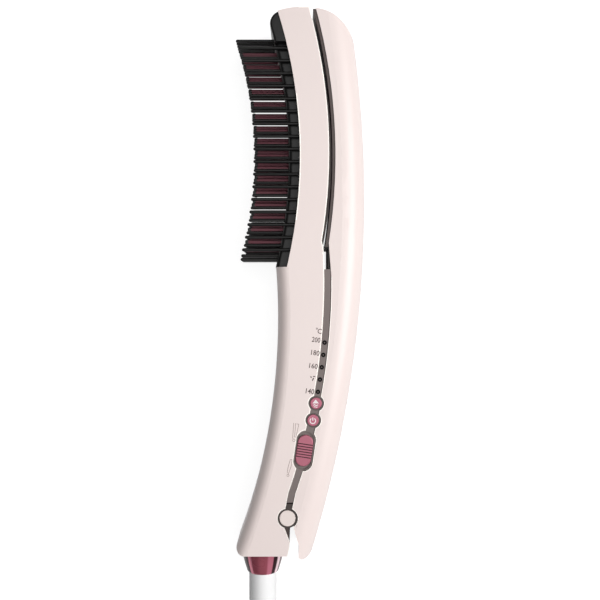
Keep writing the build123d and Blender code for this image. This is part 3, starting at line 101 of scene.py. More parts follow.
# %% Turns of the coil
def coil_point(step):
    """Point of the coil after a number of steps, spiralling in, climbing, and out again."""
    turn = step / points_per_turn
    climb = min(1.0, max(0.0, (turn - coil_turns) * 2))
    if turn <= coil_turns:
        radius = coil_inner_radius + coil_pitch * (coil_turns - turn)
    else:
        radius = coil_inner_radius + coil_pitch * max(0.0, turn - coil_turns - 0.5)
    radius -= coil_pitch / (2 * math.pi) * math.sin(math.pi * climb)
    height = coil_layers[0] + (coil_layers[1] - coil_layers[0]) * climb * climb * (3 - 2 * climb)
    angle = math.pi + 2 * math.pi * turn
    return (
        coil_centre[0] + radius * math.cos(angle),
        coil_centre[1] + radius * math.sin(angle),
        height,
    )


coil_steps = int((2 * coil_turns + 0.5) * points_per_turn) + 2
coil_points = [coil_point(step) for step in range(coil_steps + 1)]
tail_x = 54.839
tail_points = [(tail_x, y, coil_layers[1]) for y in (-245.132, -237.423, -233.423)]
cord_points = [Vector(p) * mm for p in lead_points + coil_points + tail_points]
print("cord control points:", len(cord_points))

# %% Spline of the cord
cord_curve = bpy.data.curves.new("mains_cord", "CURVE")
cord_curve.dimensions = "3D"
# The bevel is one metre, and the radius of each control point scales it to the cord's own.
cord_curve.bevel_depth = 1.0
cord_curve.bevel_resolution = 4
cord_curve.resolution_u = 4
cord_curve.use_fill_caps = True
spline = cord_curve.splines.new("NURBS")
spline.points.add(len(cord_points) - 1)
for control, place in zip(spline.points, cord_points):
    control.co = (*place, 1.0)
    control.radius = cord_diameter / 2
spline.order_u = 3
spline.use_endpoint_u = True
mains_cord = bpy.data.objects.new("mains_cord", cord_curve)
bpy.context.scene.collection.objects.link(mains_cord)
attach(mains_cord, "front_arm")
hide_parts("cord_lead", "cord_coil")

# %% [markdown]
# ## Shared surface effects
# Moulded plastic is never one flat colour. Under a close lens it has a fine spark-eroded
# grain and a slow drift in tone where the melt flowed. Both effects serve many finishes,
# so each is a node group with named inputs, and every material sets its own amounts.


# %% Helpers for node groups and sums
def start_group(name, inputs, outputs):
    """Empty shader group with typed sockets, and its input and output nodes."""
    tree = bpy.data.node_groups.new(name, "ShaderNodeTree")
    for label, kind, value in inputs:
        socket = tree.interface.new_socket(name=label, in_out="INPUT", socket_type=kind)
        if value is not None:
            socket.default_value = value
    for label, kind in outputs:
        tree.interface.new_socket(name=label, in_out="OUTPUT", socket_type=kind)
    return tree, tree.nodes.new("NodeGroupInput"), tree.nodes.new("NodeGroupOutput")


def math_node(tree, operation, first, second):
    """Output of a new math node with two inputs, each a socket or a number."""
    node = tree.nodes.new("ShaderNodeMath")
    node.operation = operation
    for socket, value in zip(node.inputs, (first, second)):
        if isinstance(value, (int, float)):
            socket.default_value = value
        else:
            tree.links.new(value, socket)
    return node.outputs["Value"]


# %% Moulding grain
grain_group, grain_in, grain_out = start_group(
    "moulding_grain",
    [("Vector", "NodeSocketVector", None), ("Grain size", "NodeSocketFloat", 1500.0)],
    [("Height", "NodeSocketFloat"), ("Mask", "NodeSocketFloat")],
)
fine_noise = grain_group.nodes.new("ShaderNodeTexNoise")
fine_noise.inputs["Detail"].default_value = 3.0
fine_noise.inputs["Roughness"].default_value = 0.6
pits = grain_group.nodes.new("ShaderNodeTexVoronoi")
grain_sum = grain_group.nodes.new("ShaderNodeMath")
grain_sum.operation = "MULTIPLY_ADD"
grain_sum.inputs[1].default_value = 0.35
grain_group.links.new(grain_in.outputs["Vector"], fine_noise.inputs["Vector"])
grain_group.links.new(grain_in.outputs["Grain size"], fine_noise.inputs["Scale"])
grain_group.links.new(grain_in.outputs["Vector"], pits.inputs["Vector"])
grain_group.links.new(grain_in.outputs["Grain size"], pits.inputs["Scale"])
grain_group.links.new(pits.outputs["Distance"], grain_sum.inputs[0])
grain_group.links.new(fine_noise.outputs["Fac"], grain_sum.inputs[2])
grain_group.links.new(grain_sum.outputs["Value"], grain_out.inputs["Height"])
grain_group.links.new(fine_noise.outputs["Fac"], grain_out.inputs["Mask"])
print("group:", grain_group.name)

# %% Slow drift in tone
drift_group, drift_in, drift_out = start_group(
    "tone_drift",
    [
        ("Vector", "NodeSocketVector", None),
        ("Light tone", "NodeSocketColor", (1, 1, 1, 1)),
        ("Dark tone", "NodeSocketColor", (0.8, 0.8, 0.8, 1)),
        ("Patch size", "NodeSocketFloat", 25.0),
        ("Low roughness", "NodeSocketFloat", 0.35),
        ("High roughness", "NodeSocketFloat", 0.45),
    ],
    [("Colour", "NodeSocketColor"), ("Roughness", "NodeSocketFloat")],
)
slow_noise = drift_group.nodes.new("ShaderNodeTexNoise")
slow_noise.inputs["Detail"].default_value = 4.0
drift_mix = drift_group.nodes.new("ShaderNodeMix")
drift_mix.data_type = "RGBA"
drift_span = drift_group.nodes.new("ShaderNodeMapRange")
drift_group.links.new(drift_in.outputs["Vector"], slow_noise.inputs["Vector"])
drift_group.links.new(drift_in.outputs["Patch size"], slow_noise.inputs["Scale"])
drift_group.links.new(slow_noise.outputs["Fac"], drift_mix.inputs["Factor"])
drift_group.links.new(drift_in.outputs["Light tone"], drift_mix.inputs["A"])
drift_group.links.new(drift_in.outputs["Dark tone"], drift_mix.inputs["B"])
drift_group.links.new(slow_noise.outputs["Fac"], drift_span.inputs["Value"])
drift_group.links.new(drift_in.outputs["Low roughness"], drift_span.inputs["To Min"])
drift_group.links.new(drift_in.outputs["High roughness"], drift_span.inputs["To Max"])
drift_group.links.new(drift_mix.outputs["Result"], drift_out.inputs["Colour"])
drift_group.links.new(drift_span.outputs["Result"], drift_out.inputs["Roughness"])
print("group:", drift_group.name)


# %% [markdown]
# ## One recipe for the finishes
# Each finish reads the same two groups and then differs in its tones, gloss, metal and
# grain. The shader itself stays in the material, with its constants on its own sockets.


# %% Recipe of a finish
def srgb(*levels):
    """Linear colour of a tone read as 0 to 255 levels."""
    linear = [(v / 255 / 12.92) if v <= 10 else ((v / 255 + 0.055) / 1.055) ** 2.4 for v in levels]
    return (*linear, 1.0)


def finish_of(name, light, dark, rough, patch=25.0, grain=1500.0, bump=0.05, **sockets):
    """Material with drifting tone and grain; other sockets of the shader are set by name."""
    made = bpy.data.materials.new(name)
    made.use_nodes = True
    tree = made.node_tree
    shader = tree.nodes["Principled BSDF"]
    place = tree.nodes.new("ShaderNodeTexCoord")
    drift = tree.nodes.new("ShaderNodeGroup")
    drift.node_tree = drift_group
    drift.inputs["Light tone"].default_value = light
    drift.inputs["Dark tone"].default_value = dark
    drift.inputs["Patch size"].default_value = patch
    drift.inputs["Low roughness"].default_value = rough[0]
    drift.inputs["High roughness"].default_value = rough[1]
    grains = tree.nodes.new("ShaderNodeGroup")
    grains.node_tree = grain_group
    grains.inputs["Grain size"].default_value = grain
    relief = tree.nodes.new("ShaderNodeBump")
    relief.inputs["Strength"].default_value = bump
    relief.inputs["Distance"].default_value = 0.05 * mm
    tree.links.new(place.outputs["Object"], drift.inputs["Vector"])
    tree.links.new(place.outputs["Object"], grains.inputs["Vector"])
    tree.links.new(drift.outputs["Colour"], shader.inputs["Base Color"])
    tree.links.new(drift.outputs["Roughness"], shader.inputs["Roughness"])
    tree.links.new(grains.outputs["Height"], relief.inputs["Height"])
    tree.links.new(relief.outputs["Normal"], shader.inputs["Normal"])
    for label, value in sockets.items():
        shader.inputs[label.replace("_", " ")].default_value = value
    return made


# %% [markdown]
# ## Finishes seen from outside
# The shells are a warm white satin plastic. The strip is a warm grey paint, the brush is
# matt black, the comb and the collar are red metal, and the plates carry a brown-grey
# ceramic coat. Tones were read from the photograph where the light is even, and then
# adjusted until the lit object came close to it.

# %% Shells, strip and brush
finishes = {
    "shell_white": finish_of(
        "satin_shell", srgb(241, 227, 223), srgb(238, 223, 219), (0.34, 0.42),
        grain=2400.0, bump=0.25, Coat_Weight=0.12, Coat_Roughness=0.25,
    ),
    "strip_grey": finish_of(
        "warm_grey_strip", srgb(128, 117, 114), srgb(118, 107, 104), (0.42, 0.52),
        patch=60.0, grain=2600.0, bump=0.3, Metallic=0.1, Specular_IOR_Level=0.35,
    ),
    "liner_grey": finish_of(
        "dark_liner", srgb(80, 71, 68), srgb(66, 58, 55), (0.45, 0.6), grain=2000.0, bump=0.4,
        Specular_IOR_Level=0.25,
    ),
    "base_black": finish_of(
        "matt_black_base", srgb(17, 16, 15), srgb(10, 9, 9), (0.34, 0.44), grain=1900.0, bump=0.15,
        Specular_IOR_Level=0.34,
    ),
    "tip_black": finish_of(
        "cool_tip_black", srgb(17, 16, 16), srgb(10, 9, 9), (0.34, 0.44), grain=2200.0, bump=0.15,
        Specular_IOR_Level=0.45,
    ),
    "comb_red": finish_of(
        "red_heated_comb", srgb(112, 58, 69), srgb(90, 44, 54), (0.36, 0.46), Metallic=0.4,
        grain=2600.0, bump=0.3,
    ),
    "plate_grey": finish_of(
        "ceramic_plate", srgb(82, 70, 67), srgb(70, 59, 56), (0.36, 0.46), Metallic=0.2,
        grain=3000.0, bump=0.15,
    ),
}

# %% Collar, controls and cord
finishes.update({
    "collar_red": finish_of(
        "red_metal_collar", srgb(255, 255, 255), srgb(232, 228, 230), (0.24, 0.32), Metallic=0.4,
        grain=3000.0, bump=0.08, Specular_IOR_Level=0.25,
    ),
    "boot_white": finish_of(
        "soft_white_boot", srgb(249, 249, 249), srgb(242, 242, 242), (0.5, 0.62),
        grain=1800.0, bump=0.4,
    ),
    "cord_white": finish_of(
        "white_cord", srgb(232, 232, 232), srgb(220, 220, 220), (0.5, 0.62),
        grain=1200.0, bump=0.4,
    ),
    "cap_white": finish_of(
        "satin_hinge_cap", srgb(240, 227, 221), srgb(234, 220, 214), (0.34, 0.42),
        grain=2400.0, bump=0.2,
    ),
    "button_pink": finish_of(
        "pink_button", srgb(192, 112, 132), srgb(178, 98, 118), (0.34, 0.44), Metallic=0.2,
        grain=2600.0, bump=0.2,
    ),
    "slider_pink": finish_of(
        "pink_slider", srgb(184, 106, 124), srgb(173, 95, 113), (0.38, 0.48), Metallic=0.15,
        grain=2400.0, bump=0.3,
    ),
    "ring_grey": finish_of(
        "grey_button_ring", srgb(100, 90, 86), srgb(84, 74, 71), (0.34, 0.44), Metallic=0.2,
        grain=2600.0, bump=0.2,
    ),
    "window_black": finish_of(
        "lamp_window", srgb(14, 13, 13), srgb(8, 8, 8), (0.35, 0.45), grain=1500.0, bump=0.03,
        Specular_IOR_Level=0.1,
    ),
})

# %% [markdown]
# ## The collar's painted reflections
# The collar looks like red polished metal. In the photograph it seems to mirror the bright and
# dark parts of the studio, as long streaks from its wide end to its narrow one. That studio
# isn't built here, so the streaks are painted reflections: a ring of dark and bright tones laid
# on the base colour round the collar's own axis, which don't move with the light. Their angles
# are in degrees, with 0 straight up. On the upper side the edges of the streaks were read off
# the photograph, and the lower side goes on in the same manner by invention.

# %% Ring of painted reflection tones round the collar
collar_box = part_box("cord_collar")
collar_axis = ((collar_box[0].x + collar_box[1].x) / 2, (collar_box[0].z + collar_box[1].z) / 2)
tones = {
    "shade": srgb(44, 22, 26), "deep": srgb(98, 74, 76), "dark": srgb(58, 34, 38),
    "red": srgb(172, 90, 104), "mid": srgb(160, 82, 95), "pink": srgb(230, 138, 158),
    "pale": srgb(250, 158, 176), "bright": srgb(255, 226, 232),
}
# Each stop is a painted reflection: an angle in degrees and the tone laid there.
painted_reflection_stops = [
    (-180, "red"), (-150, "mid"), (-138, "pink"), (-122, "pink"), (-118, "dark"), (-104, "deep"),
    (-90, "shade"), (-46, "shade"), (-43, "pale"), (-35, "pale"), (-31, "red"), (-12, "mid"),
    (6, "mid"), (14, "red"), (19, "pink"), (33, "pink"), (36, "dark"), (48, "dark"),
    (51, "bright"), (61, "bright"), (64, "deep"), (90, "deep"), (106, "red"), (128, "mid"),
    (134, "pink"), (146, "pink"), (150, "dark"), (164, "dark"), (170, "red"), (180, "red"),
]
collar_tree = finishes["collar_red"].node_tree
collar_place = next(n for n in collar_tree.nodes if n.bl_idname == "ShaderNodeTexCoord")
collar_shader = collar_tree.nodes["Principled BSDF"]
collar_groups = [n for n in collar_tree.nodes if n.bl_idname == "ShaderNodeGroup"]
collar_drift = next(n for n in collar_groups if n.node_tree == drift_group)
split = collar_tree.nodes.new("ShaderNodeSeparateXYZ")
collar_tree.links.new(collar_place.outputs["Object"], split.inputs["Vector"])
across = math_node(collar_tree, "SUBTRACT", split.outputs["X"], collar_axis[0])
upward = math_node(collar_tree, "SUBTRACT", split.outputs["Z"], collar_axis[1])
angle = math_node(collar_tree, "ARCTAN2", across, upward)
full_turns = math_node(collar_tree, "DIVIDE", angle, 2 * math.pi)
ramp_place = math_node(collar_tree, "ADD", full_turns, 0.5)
ramp = collar_tree.nodes.new("ShaderNodeValToRGB")
stops = ramp.color_ramp.elements
stops[0].color, stops[1].color = tones[painted_reflection_stops[0][1]], tones[painted_reflection_stops[-1][1]]
for degrees, tone in painted_reflection_stops[1:-1]:
    stops.new(degrees / 360 + 0.5).color = tones[tone]
collar_tree.links.new(ramp_place, ramp.inputs["Fac"])
# The painted reflections are multiplied into the collar's base colour.
blend = collar_tree.nodes.new("ShaderNodeMix")
blend.data_type = "RGBA"
blend.blend_type = "MULTIPLY"
blend.inputs["Factor"].default_value = 1.0
collar_tree.links.new(ramp.outputs["Color"], blend.inputs["A"])
collar_tree.links.new(collar_drift.outputs["Colour"], blend.inputs["B"])
collar_tree.links.new(blend.outputs["Result"], collar_shader.inputs["Base Color"])
print("collar stops:", len(stops))

# %% [markdown]
# ## Finishes of the unseen pieces
# The photograph shows nothing of the inside, the plug or the cord's tie, so their tones are
# guessed from what such parts are made of: amber heater film, black carriers, silicone wire,
# steel screws, nickel pins, a green board and a rubber tie. They take the same recipe, with a
# finer drift on film, screws and board.

# %% Unseen finishes
finishes.update({
    "heater_tan": finish_of(
        "amber_heater_film", srgb(196, 140, 62), srgb(160, 104, 40), (0.2, 0.34), patch=180.0,
        grain=500.0, bump=0.4,
    ),
    "carrier_black": finish_of(
        "heatproof_carrier", srgb(56, 52, 51), srgb(40, 37, 36), (0.5, 0.65),
        grain=1400.0, bump=0.5,
    ),
    "sensor_tan": finish_of(
        "sensor_case", srgb(186, 152, 112), srgb(164, 130, 92), (0.4, 0.5), patch=120.0, bump=0.3,
    ),
    "board_green": finish_of(
        "board_lacquer", srgb(52, 122, 78), srgb(34, 96, 58), (0.2, 0.34), patch=320.0,
        grain=800.0, bump=0.3,
    ),
    "switch_black": finish_of(
        "moulded_switch", srgb(52, 50, 50), srgb(38, 37, 37), (0.4, 0.5), patch=90.0, bump=0.3,
    ),
    "lamp_clear": finish_of(
        "clear_lamp", srgb(232, 224, 214), srgb(220, 210, 200), (0.08, 0.16), bump=0.02,
        Transmission_Weight=0.6,
    ),
    "screw_steel": finish_of(
        "zinc_screw", srgb(190, 188, 186), srgb(164, 162, 160), (0.26, 0.4), patch=400.0,
        grain=1800.0, bump=0.2, Metallic=1.0,
    ),
    "pin_steel": finish_of(
        "ground_steel", srgb(200, 200, 202), srgb(176, 176, 180), (0.2, 0.3), patch=300.0,
        grain=2600.0, bump=0.12, Metallic=1.0,
    ),
    "pin_nickel": finish_of(
        "nickel_plug_pin", srgb(214, 208, 196), srgb(192, 186, 172), (0.18, 0.28), patch=200.0,
        grain=2600.0, bump=0.1, Metallic=1.0,
    ),
    "wire_white": finish_of(
        "white_wire", srgb(226, 224, 220), srgb(208, 206, 202), (0.45, 0.55),
        patch=100.0, bump=0.2,
    ),
    "wire_red": finish_of(
        "red_silicone_wire", srgb(172, 52, 44), srgb(146, 38, 32), (0.42, 0.52),
        patch=100.0, bump=0.2,
    ),
    "tie_black": finish_of(
        "rubber_cord_tie", srgb(58, 58, 58), srgb(42, 42, 42), (0.55, 0.7), grain=1200.0, bump=0.4,
    ),
})
print("finishes:", len(finishes))

# %% Finishes on the solids
slot_of = {row["node"]: row["material_slot"] for row in frame["record"]["subparts"]}
for name, solid in nodes.items():
    solid.data.materials.clear()
    solid.data.materials.append(finishes[slot_of[name]])
mains_cord.data.materials.append(finishes["cord_white"])

# %% [markdown]
# ## Printed marks
# The numbers beside the lamps and the small signs look printed on the casing. Here each mark
# is a thin raised film: letters come from Blender's own font and are fitted to a box of a
# given size, and the signs are drawn as flat strokes.

# %% Ink and its helpers
near_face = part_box("front_shell")[1].z
ink_depth = 0.03 * mm
sink = 0.01 * mm


def add_piece(name, shape, body, finish):
    """Piece of the scene made from a drawn shape, riding on a body, with slot and finish."""
    bmesh.ops.recalc_face_normals(shape, faces=shape.faces)
    mesh = bpy.data.meshes.new(name)
    shape.to_mesh(mesh)
    shape.free()
    mesh.materials.append(finish)
    piece = bpy.data.objects.new(name, mesh)
    bpy.context.scene.collection.objects.link(piece)
    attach(piece, body)


def film(name, outlines, height, body, finish):
    """Thin films with the given outlines, standing on a face at a height."""
    shape = bmesh.new()
    for outline in outlines:
        low = [shape.verts.new((x * mm, y * mm, height - sink)) for x, y in outline]
        face = shape.faces.new(low)
        lifted = bmesh.ops.extrude_face_region(shape, geom=[face])["geom"]
        tops = [item for item in lifted if isinstance(item, bmesh.types.BMVert)]
        bmesh.ops.translate(shape, verts=tops, vec=(0, 0, ink_depth + sink))
    add_piece(name, shape, body, finish)


def stroke(points, width):
    """Outline of a line of one width through points, with square joints."""
    left, right = [], []
    for index, (x, y) in enumerate(points):
        ahead = points[min(index + 1, len(points) - 1)]
        behind = points[max(index - 1, 0)]
        along = Vector((ahead[0] - behind[0], ahead[1] - behind[1])).normalized() * width / 2
        left.append((x - along.y, y + along.x))
        right.append((x + along.y, y - along.x))
    return left + right[::-1]


def arc(centre, radius, start, end, steps=14):
    """Points along an arc between two angles in degrees."""
    return [
        (
            centre[0] + radius * math.cos(math.radians(start + (end - start) * i / steps)),
            centre[1] + radius * math.sin(math.radians(start + (end - start) * i / steps)),
        )
        for i in range(steps + 1)
    ]


def turned(points, centre, angle):
    """Points turned about a centre by an angle in degrees."""
    cosine, sine = math.cos(math.radians(angle)), math.sin(math.radians(angle))
    return [
        (
            centre[0] + (x - centre[0]) * cosine - (y - centre[1]) * sine,
            centre[1] + (x - centre[0]) * sine + (y - centre[1]) * cosine,
        )
        for x, y in points
    ]


# %% Inks
ink_surface = {"patch": 300.0, "grain": 2600.0, "bump": 0.1}
ink_grey = finish_of(
    "grey_print", srgb(98, 82, 80), srgb(88, 72, 70), (0.5, 0.6), **ink_surface
)
ink_faint = finish_of(
    "faint_print", srgb(164, 145, 140), srgb(154, 135, 130), (0.5, 0.6), **ink_surface
)
ink_white = finish_of(
    "white_print", srgb(246, 240, 240), srgb(238, 230, 230), (0.4, 0.5), **ink_surface
)
print("inks:", ink_grey.name, ink_faint.name, ink_white.name)

# %% Temperature numbers
print_tilt = -8.0
letter_weight = 0.012
letter_size, number_size = (2.1, 2.55), (4.3, 2.6)
number_centres = {
    "200": (8.2, -20.2), "180": (7.8, -26.8), "160": (6.85, -33.45), "140": (5.1, -46.3),
}


def number(name, words, centre, width, height):
    """Words in Blender's font, fitted to a box in millimetres and printed on the casing."""
    text = bpy.data.curves.new(name, "FONT")
    text.body = words
    text.extrude = 0.5  # any depth, because the mesh is fitted to its box below
    text.offset = letter_weight
    text.resolution_u = 3
    draft = bpy.data.objects.new(name + "_draft", text)
    mesh = bpy.data.meshes.new_from_object(draft)
    bpy.data.objects.remove(draft)
    low = [min(v.co[k] for v in mesh.vertices) for k in range(3)]
    span = [max(v.co[k] for v in mesh.vertices) - low[k] for k in range(3)]
    spread = (width * mm, height * mm, ink_depth + sink)
    start = (-width * mm / 2, -height * mm / 2, near_face - sink)
    for vertex in mesh.vertices:
        vertex.co = [start[k] + (vertex.co[k] - low[k]) / span[k] * spread[k] for k in range(3)]
    place = Matrix.Translation((centre[0] * mm, centre[1] * mm, 0))
    mesh.transform(place @ Matrix.Rotation(math.radians(print_tilt), 4, "Z"))
    mesh.materials.clear()
    mesh.materials.append(ink_grey)
    piece = bpy.data.objects.new(name, mesh)
    bpy.context.scene.collection.objects.link(piece)
    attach(piece, "front_arm")


number("degree_letter", "C", (10.0, -15.85), *letter_size)
for value, centre in number_centres.items():
    number("number_" + value, value, centre, *number_size)

# %% Degree ring and the three short strokes
film(
    "degree_ring", [stroke(arc((8.55, -14.5), 0.34, 0, 360), 0.24)], near_face, "front_arm",
    ink_grey,
)
film(
    "lowest_step_sign",
    [
        stroke([(5.35, -38.75), (5.9, -39.35)], 0.62),
        stroke([(6.6, -38.75), (7.7, -38.85)], 0.5),
        stroke([(6.9, -39.5), (6.3, -40.9)], 0.55),
    ],
    near_face, "front_arm", ink_grey,
)

# %% Signs of a closed and an open jaw beside the slider
line_width = 0.24
closed_sign = [
    stroke([(-3.2, -62.4), (-3.75, -70.3)], line_width),
    stroke([(-2.2, -62.5), (-2.75, -69.6)], line_width),
    stroke([(-0.6, -63.0), (-2.1, -69.8)], line_width),
    stroke([(-1.8, -62.8), (-0.6, -63.0)], line_width),
    stroke(arc((-3.1, -71.1), 0.62, 0, 360), line_width),
]
open_sign = [
    stroke([(-4.0, -81.0), (-4.5, -84.4), (-5.9, -88.2)], line_width),
    stroke([(-4.9, -80.9), (-6.0, -84.6), (-6.5, -87.9)], line_width),
    stroke([(-4.0, -81.0), (-4.9, -80.9)], line_width),
    stroke(arc((-6.1, -88.9), 0.55, 0, 360), line_width),
]
film("closed_jaw_sign", closed_sign, near_face, "front_arm", ink_faint)
film("open_jaw_sign", open_sign, near_face, "front_arm", ink_faint)

# %% Signs on the two buttons
power_line = 0.46
heat_sign = [
    [(6.35, -52.4), (9.55, -52.4), (7.95, -50.4)],
    stroke([(6.7, -53.4), (7.3, -53.0), (8.3, -53.5), (9.1, -53.1)], 0.45),
    stroke([(7.0, -54.3), (7.6, -54.0), (8.3, -54.4), (8.9, -54.1)], 0.36),
]
power_sign = [
    stroke(arc((6.5, -61.2), 1.4, 125, 415, 24), power_line),
    stroke([(6.5, -59.5), (6.5, -61.1)], power_line),
]
for body, signs in (("temperature_button", heat_sign), ("power_button", power_sign)):
    film(body + "_sign", signs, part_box(body)[1].z, body, ink_white)

# %% Grey dots in the middle of the lamp windows
window_first_y, window_pitch, window_count = -21.6, 6.25, 5
window_radius, dot_radius, dot_corners = 1.15, 0.33, 24
row_bend = 0.28
window_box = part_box("lamp_windows")
lean = (window_box[1].x - window_box[0].x) / mm - 2 * window_radius
window_dots = []
for index in range(window_count):
    share = index / (window_count - 1)
    drop = lean * ((1 - row_bend) * share + row_bend * share * share)
    centre = (window_box[1].x / mm - window_radius - drop, window_first_y - window_pitch * index)
    window_dots.append(arc(centre, dot_radius, 0, 360 - 360 / dot_corners, dot_corners - 1))
film("lamp_window_dots", window_dots, window_box[1].z, "front_arm", ink_grey)

# %% Painted shade on the floors of the slider's grooves
slider_centre, slider_tilt = (2.2, -76.4), 8.5
groove_pitch, groove_count = 1.32, 6
groove_reach, groove_width, groove_depth = 3.85, 0.54, 0.4 * mm
groove_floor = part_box("mode_slider")[1].z - groove_depth
groove_lines = []
for index in range(groove_count):
    y = slider_centre[1] + (index - (groove_count - 1) / 2) * groove_pitch
    ends = [(slider_centre[0] - groove_reach, y), (slider_centre[0] + groove_reach, y)]
    groove_lines.append(turned(stroke(ends, groove_width), slider_centre, -slider_tilt))
# The dark red films on the groove floors are painted shade, darker than the slider.
groove_shade_paint = finish_of(
    "painted_groove_shade", srgb(78, 26, 38), srgb(60, 18, 28), (0.5, 0.6), **ink_surface
)
film("slider_groove_painted_shade", groove_lines, groove_floor, "mode_slider", groove_shade_paint)

# %% [markdown]
# ## Light on the cut edges
# Where the casings meet the strip, the photograph shows a fine bright line along their sharp
# edges. It may come from the picture's own sharpening, and a narrow band of painted highlight,
# near-white and glossy, stands for it. The sharp edges of the solids are found from the angle
# between their faces and joined into chains, and the band is laid along each.

# %% Chains of sharp edges on the near face
band_rise = 0.015 * mm
near_face_depth = 0.05 * mm
flat_above, steep_below = 0.99, 0.6
weld_gap = 1e-6
shortest_chain = 4


def sharp_chains(solid, keep):
    """Chains of near-face points joined by sharp edges, with the way into the face at each."""
    shape = bmesh.new()
    shape.from_mesh(solid.data)
    bmesh.ops.remove_doubles(shape, verts=shape.verts, dist=weld_gap)
    shape.normal_update()
    links = {}
    for edge in shape.edges:
        lowest = min(v.co.z for v in edge.verts)
        if len(edge.link_faces) != 2 or lowest < near_face - near_face_depth:
            continue
        flat = [face for face in edge.link_faces if face.normal.z > flat_above]
        steep = [face for face in edge.link_faces if face.normal.z < steep_below]
        middle = (edge.verts[0].co + edge.verts[1].co) / 2 / mm
        if len(flat) != 1 or len(steep) != 1 or not keep(middle):
            continue
        inward = -Vector((steep[0].normal.x, steep[0].normal.y, 0)).normalized()
        for one, other in (edge.verts, reversed(edge.verts)):
            links.setdefault(one.index, []).append((other.index, inward))
    places = {v.index: v.co.copy() for v in shape.verts}
    shape.free()
    chains, used = [], set()
    starts = [k for k in links if len(links[k]) == 1] + list(links)
    for start in starts:
        if start in used:
            continue
        chain, here = [], start
        while here is not None:
            used.add(here)
            ways = [way for _, way in links[here]]
            chain.append((places[here], sum(ways, Vector()).normalized()))
            here = next((k for k, _ in links[here] if k not in used), None)
        chains.append(chain)
    return chains


def edge_band(name, solid_name, keep, body, width, finish):
    """Narrow band of painted highlight along a casing's sharp edges."""
    shape = bmesh.new()
    count = 0
    for chain in sharp_chains(nodes[solid_name], keep):
        if len(chain) < shortest_chain:
            continue
        count += 1
        rings = []
        for place, way in chain:
            inner = place + way * width
            rings.append(
                [
                    shape.verts.new((place.x, place.y, place.z - sink)),
                    shape.verts.new((inner.x, inner.y, inner.z - sink)),
                    shape.verts.new((inner.x, inner.y, inner.z + band_rise)),
                    shape.verts.new((place.x, place.y, place.z + band_rise)),
                ]
            )
        for ring, following in zip(rings, rings[1:]):
            for k in range(4):
                shape.faces.new((ring[k], ring[(k + 1) % 4], following[(k + 1) % 4], following[k]))
        shape.faces.new(rings[0])
        shape.faces.new(rings[-1][::-1])
    add_piece(name, shape, body, finish)
    print(name, "chains:", count)


# %% Bands of painted highlight on both casings
outer_edge_x, head_seam_x = -12, -2
front_grip_top, rear_grip_top = 15, 12
front_band_width, rear_band_width = 0.45 * mm, 0.3 * mm


def by_front_seam(place):
    """Whether a place, in millimetres, is on the front casing's edge by the strip and seam."""
    return place.x > outer_edge_x and (place.y < front_grip_top or place.x > head_seam_x)


def on_rear_grip(place):
    """Whether a place, in millimetres, is on the rear casing below the brush head."""
    return place.y < rear_grip_top


# The near-white colour of the bands is a painted highlight along the casings' edges.
edge_highlight_paint = finish_of(
    "painted_edge_highlight", srgb(255, 250, 244), srgb(255, 246, 238), (0.24, 0.32), patch=60.0,
    grain=2600.0, bump=0.05, Metallic=0.25,
)
edge_band(
    "front_edge_highlight", "front_shell", by_front_seam, "front_arm", front_band_width, edge_highlight_paint
)
edge_band("rear_edge_highlight", "rear_shell", on_rear_grip, "rear_arm", rear_band_width, edge_highlight_paint)

# %% [markdown]
# ## Floor and light
# The object lies on a white table. The floor glows for the camera and in reflections only, so
# it reads as white paper without throwing more diffuse light on the object, and it keeps a
# soft shadow. The room behind it is white for the camera alone. Large lamps above and to the
# right light the back and leave the grip's edge dim, and a small one is mirrored in the collar.

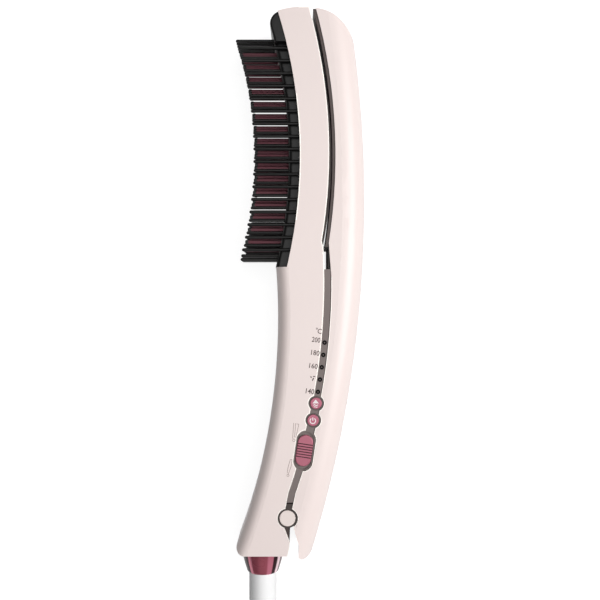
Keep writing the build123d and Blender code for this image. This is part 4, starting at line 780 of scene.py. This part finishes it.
# %% White floor
reach, floor_drop = 4.0, 0.2 * mm
floor_grey, floor_glow = 0.3, 0.88
floor_mesh = bpy.data.meshes.new("white_table")
corners = [(-reach, -reach, 0), (reach, -reach, 0), (reach, reach, 0), (-reach, reach, 0)]
floor_mesh.from_pydata(corners, [], [(0, 1, 2, 3)])
white_table = bpy.data.objects.new("white_table", floor_mesh)
white_table.location.z = -floor_drop
bpy.context.scene.collection.objects.link(white_table)
paper = bpy.data.materials.new("white_paper")
paper.use_nodes = True
paper_shader = paper.node_tree.nodes["Principled BSDF"]
paper_shader.inputs["Base Color"].default_value = (floor_grey, floor_grey, floor_grey, 1)
paper_shader.inputs["Roughness"].default_value = 0.8
paper_shader.inputs["Specular IOR Level"].default_value = 0.1
paper_shader.inputs["Emission Color"].default_value = (1, 1, 1, 1)
floor_ray = paper.node_tree.nodes.new("ShaderNodeLightPath")
camera_ray, glossy_ray = floor_ray.outputs["Is Camera Ray"], floor_ray.outputs["Is Glossy Ray"]
seen = math_node(paper.node_tree, "MAXIMUM", camera_ray, glossy_ray)
glow = math_node(paper.node_tree, "MULTIPLY", seen, floor_glow)
paper.node_tree.links.new(glow, paper_shader.inputs["Emission Strength"])
white_table.data.materials.append(paper)


# %% Lamps
lamp_aim = Vector((0, 0, 0.02))


def soft_lamp(name, place, size, power):
    """Square area lamp that faces the object."""
    data = bpy.data.lights.new(name, "AREA")
    data.shape = "SQUARE"
    data.size = size
    data.energy = power
    lamp = bpy.data.objects.new(name, data)
    lamp.location = place
    lamp.rotation_mode = "QUATERNION"
    lamp.rotation_quaternion = (lamp_aim - Vector(place)).to_track_quat("-Z", "Y")
    bpy.context.scene.collection.objects.link(lamp)


soft_lamp("overhead", (0.12, 0.12, 1.3), 1.0, 7.1)
soft_lamp("right_side", (0.98, 0.06, 0.82), 0.8, 12.4)
soft_lamp("collar_side", (-0.05, -1.05, 0.8), 0.9, 1.4)

# %% Pale room
room_light = 0.09
world = bpy.data.worlds.new("pale_room")
bpy.context.scene.world = world
world.use_nodes = True
backdrop = world.node_tree.nodes["Background"]
backdrop.inputs["Color"].default_value = (1, 1, 1, 1)
room_ray = world.node_tree.nodes.new("ShaderNodeLightPath")
bright = math_node(world.node_tree, "MAXIMUM", room_ray.outputs["Is Camera Ray"], room_light)
world.node_tree.links.new(bright, backdrop.inputs["Strength"])
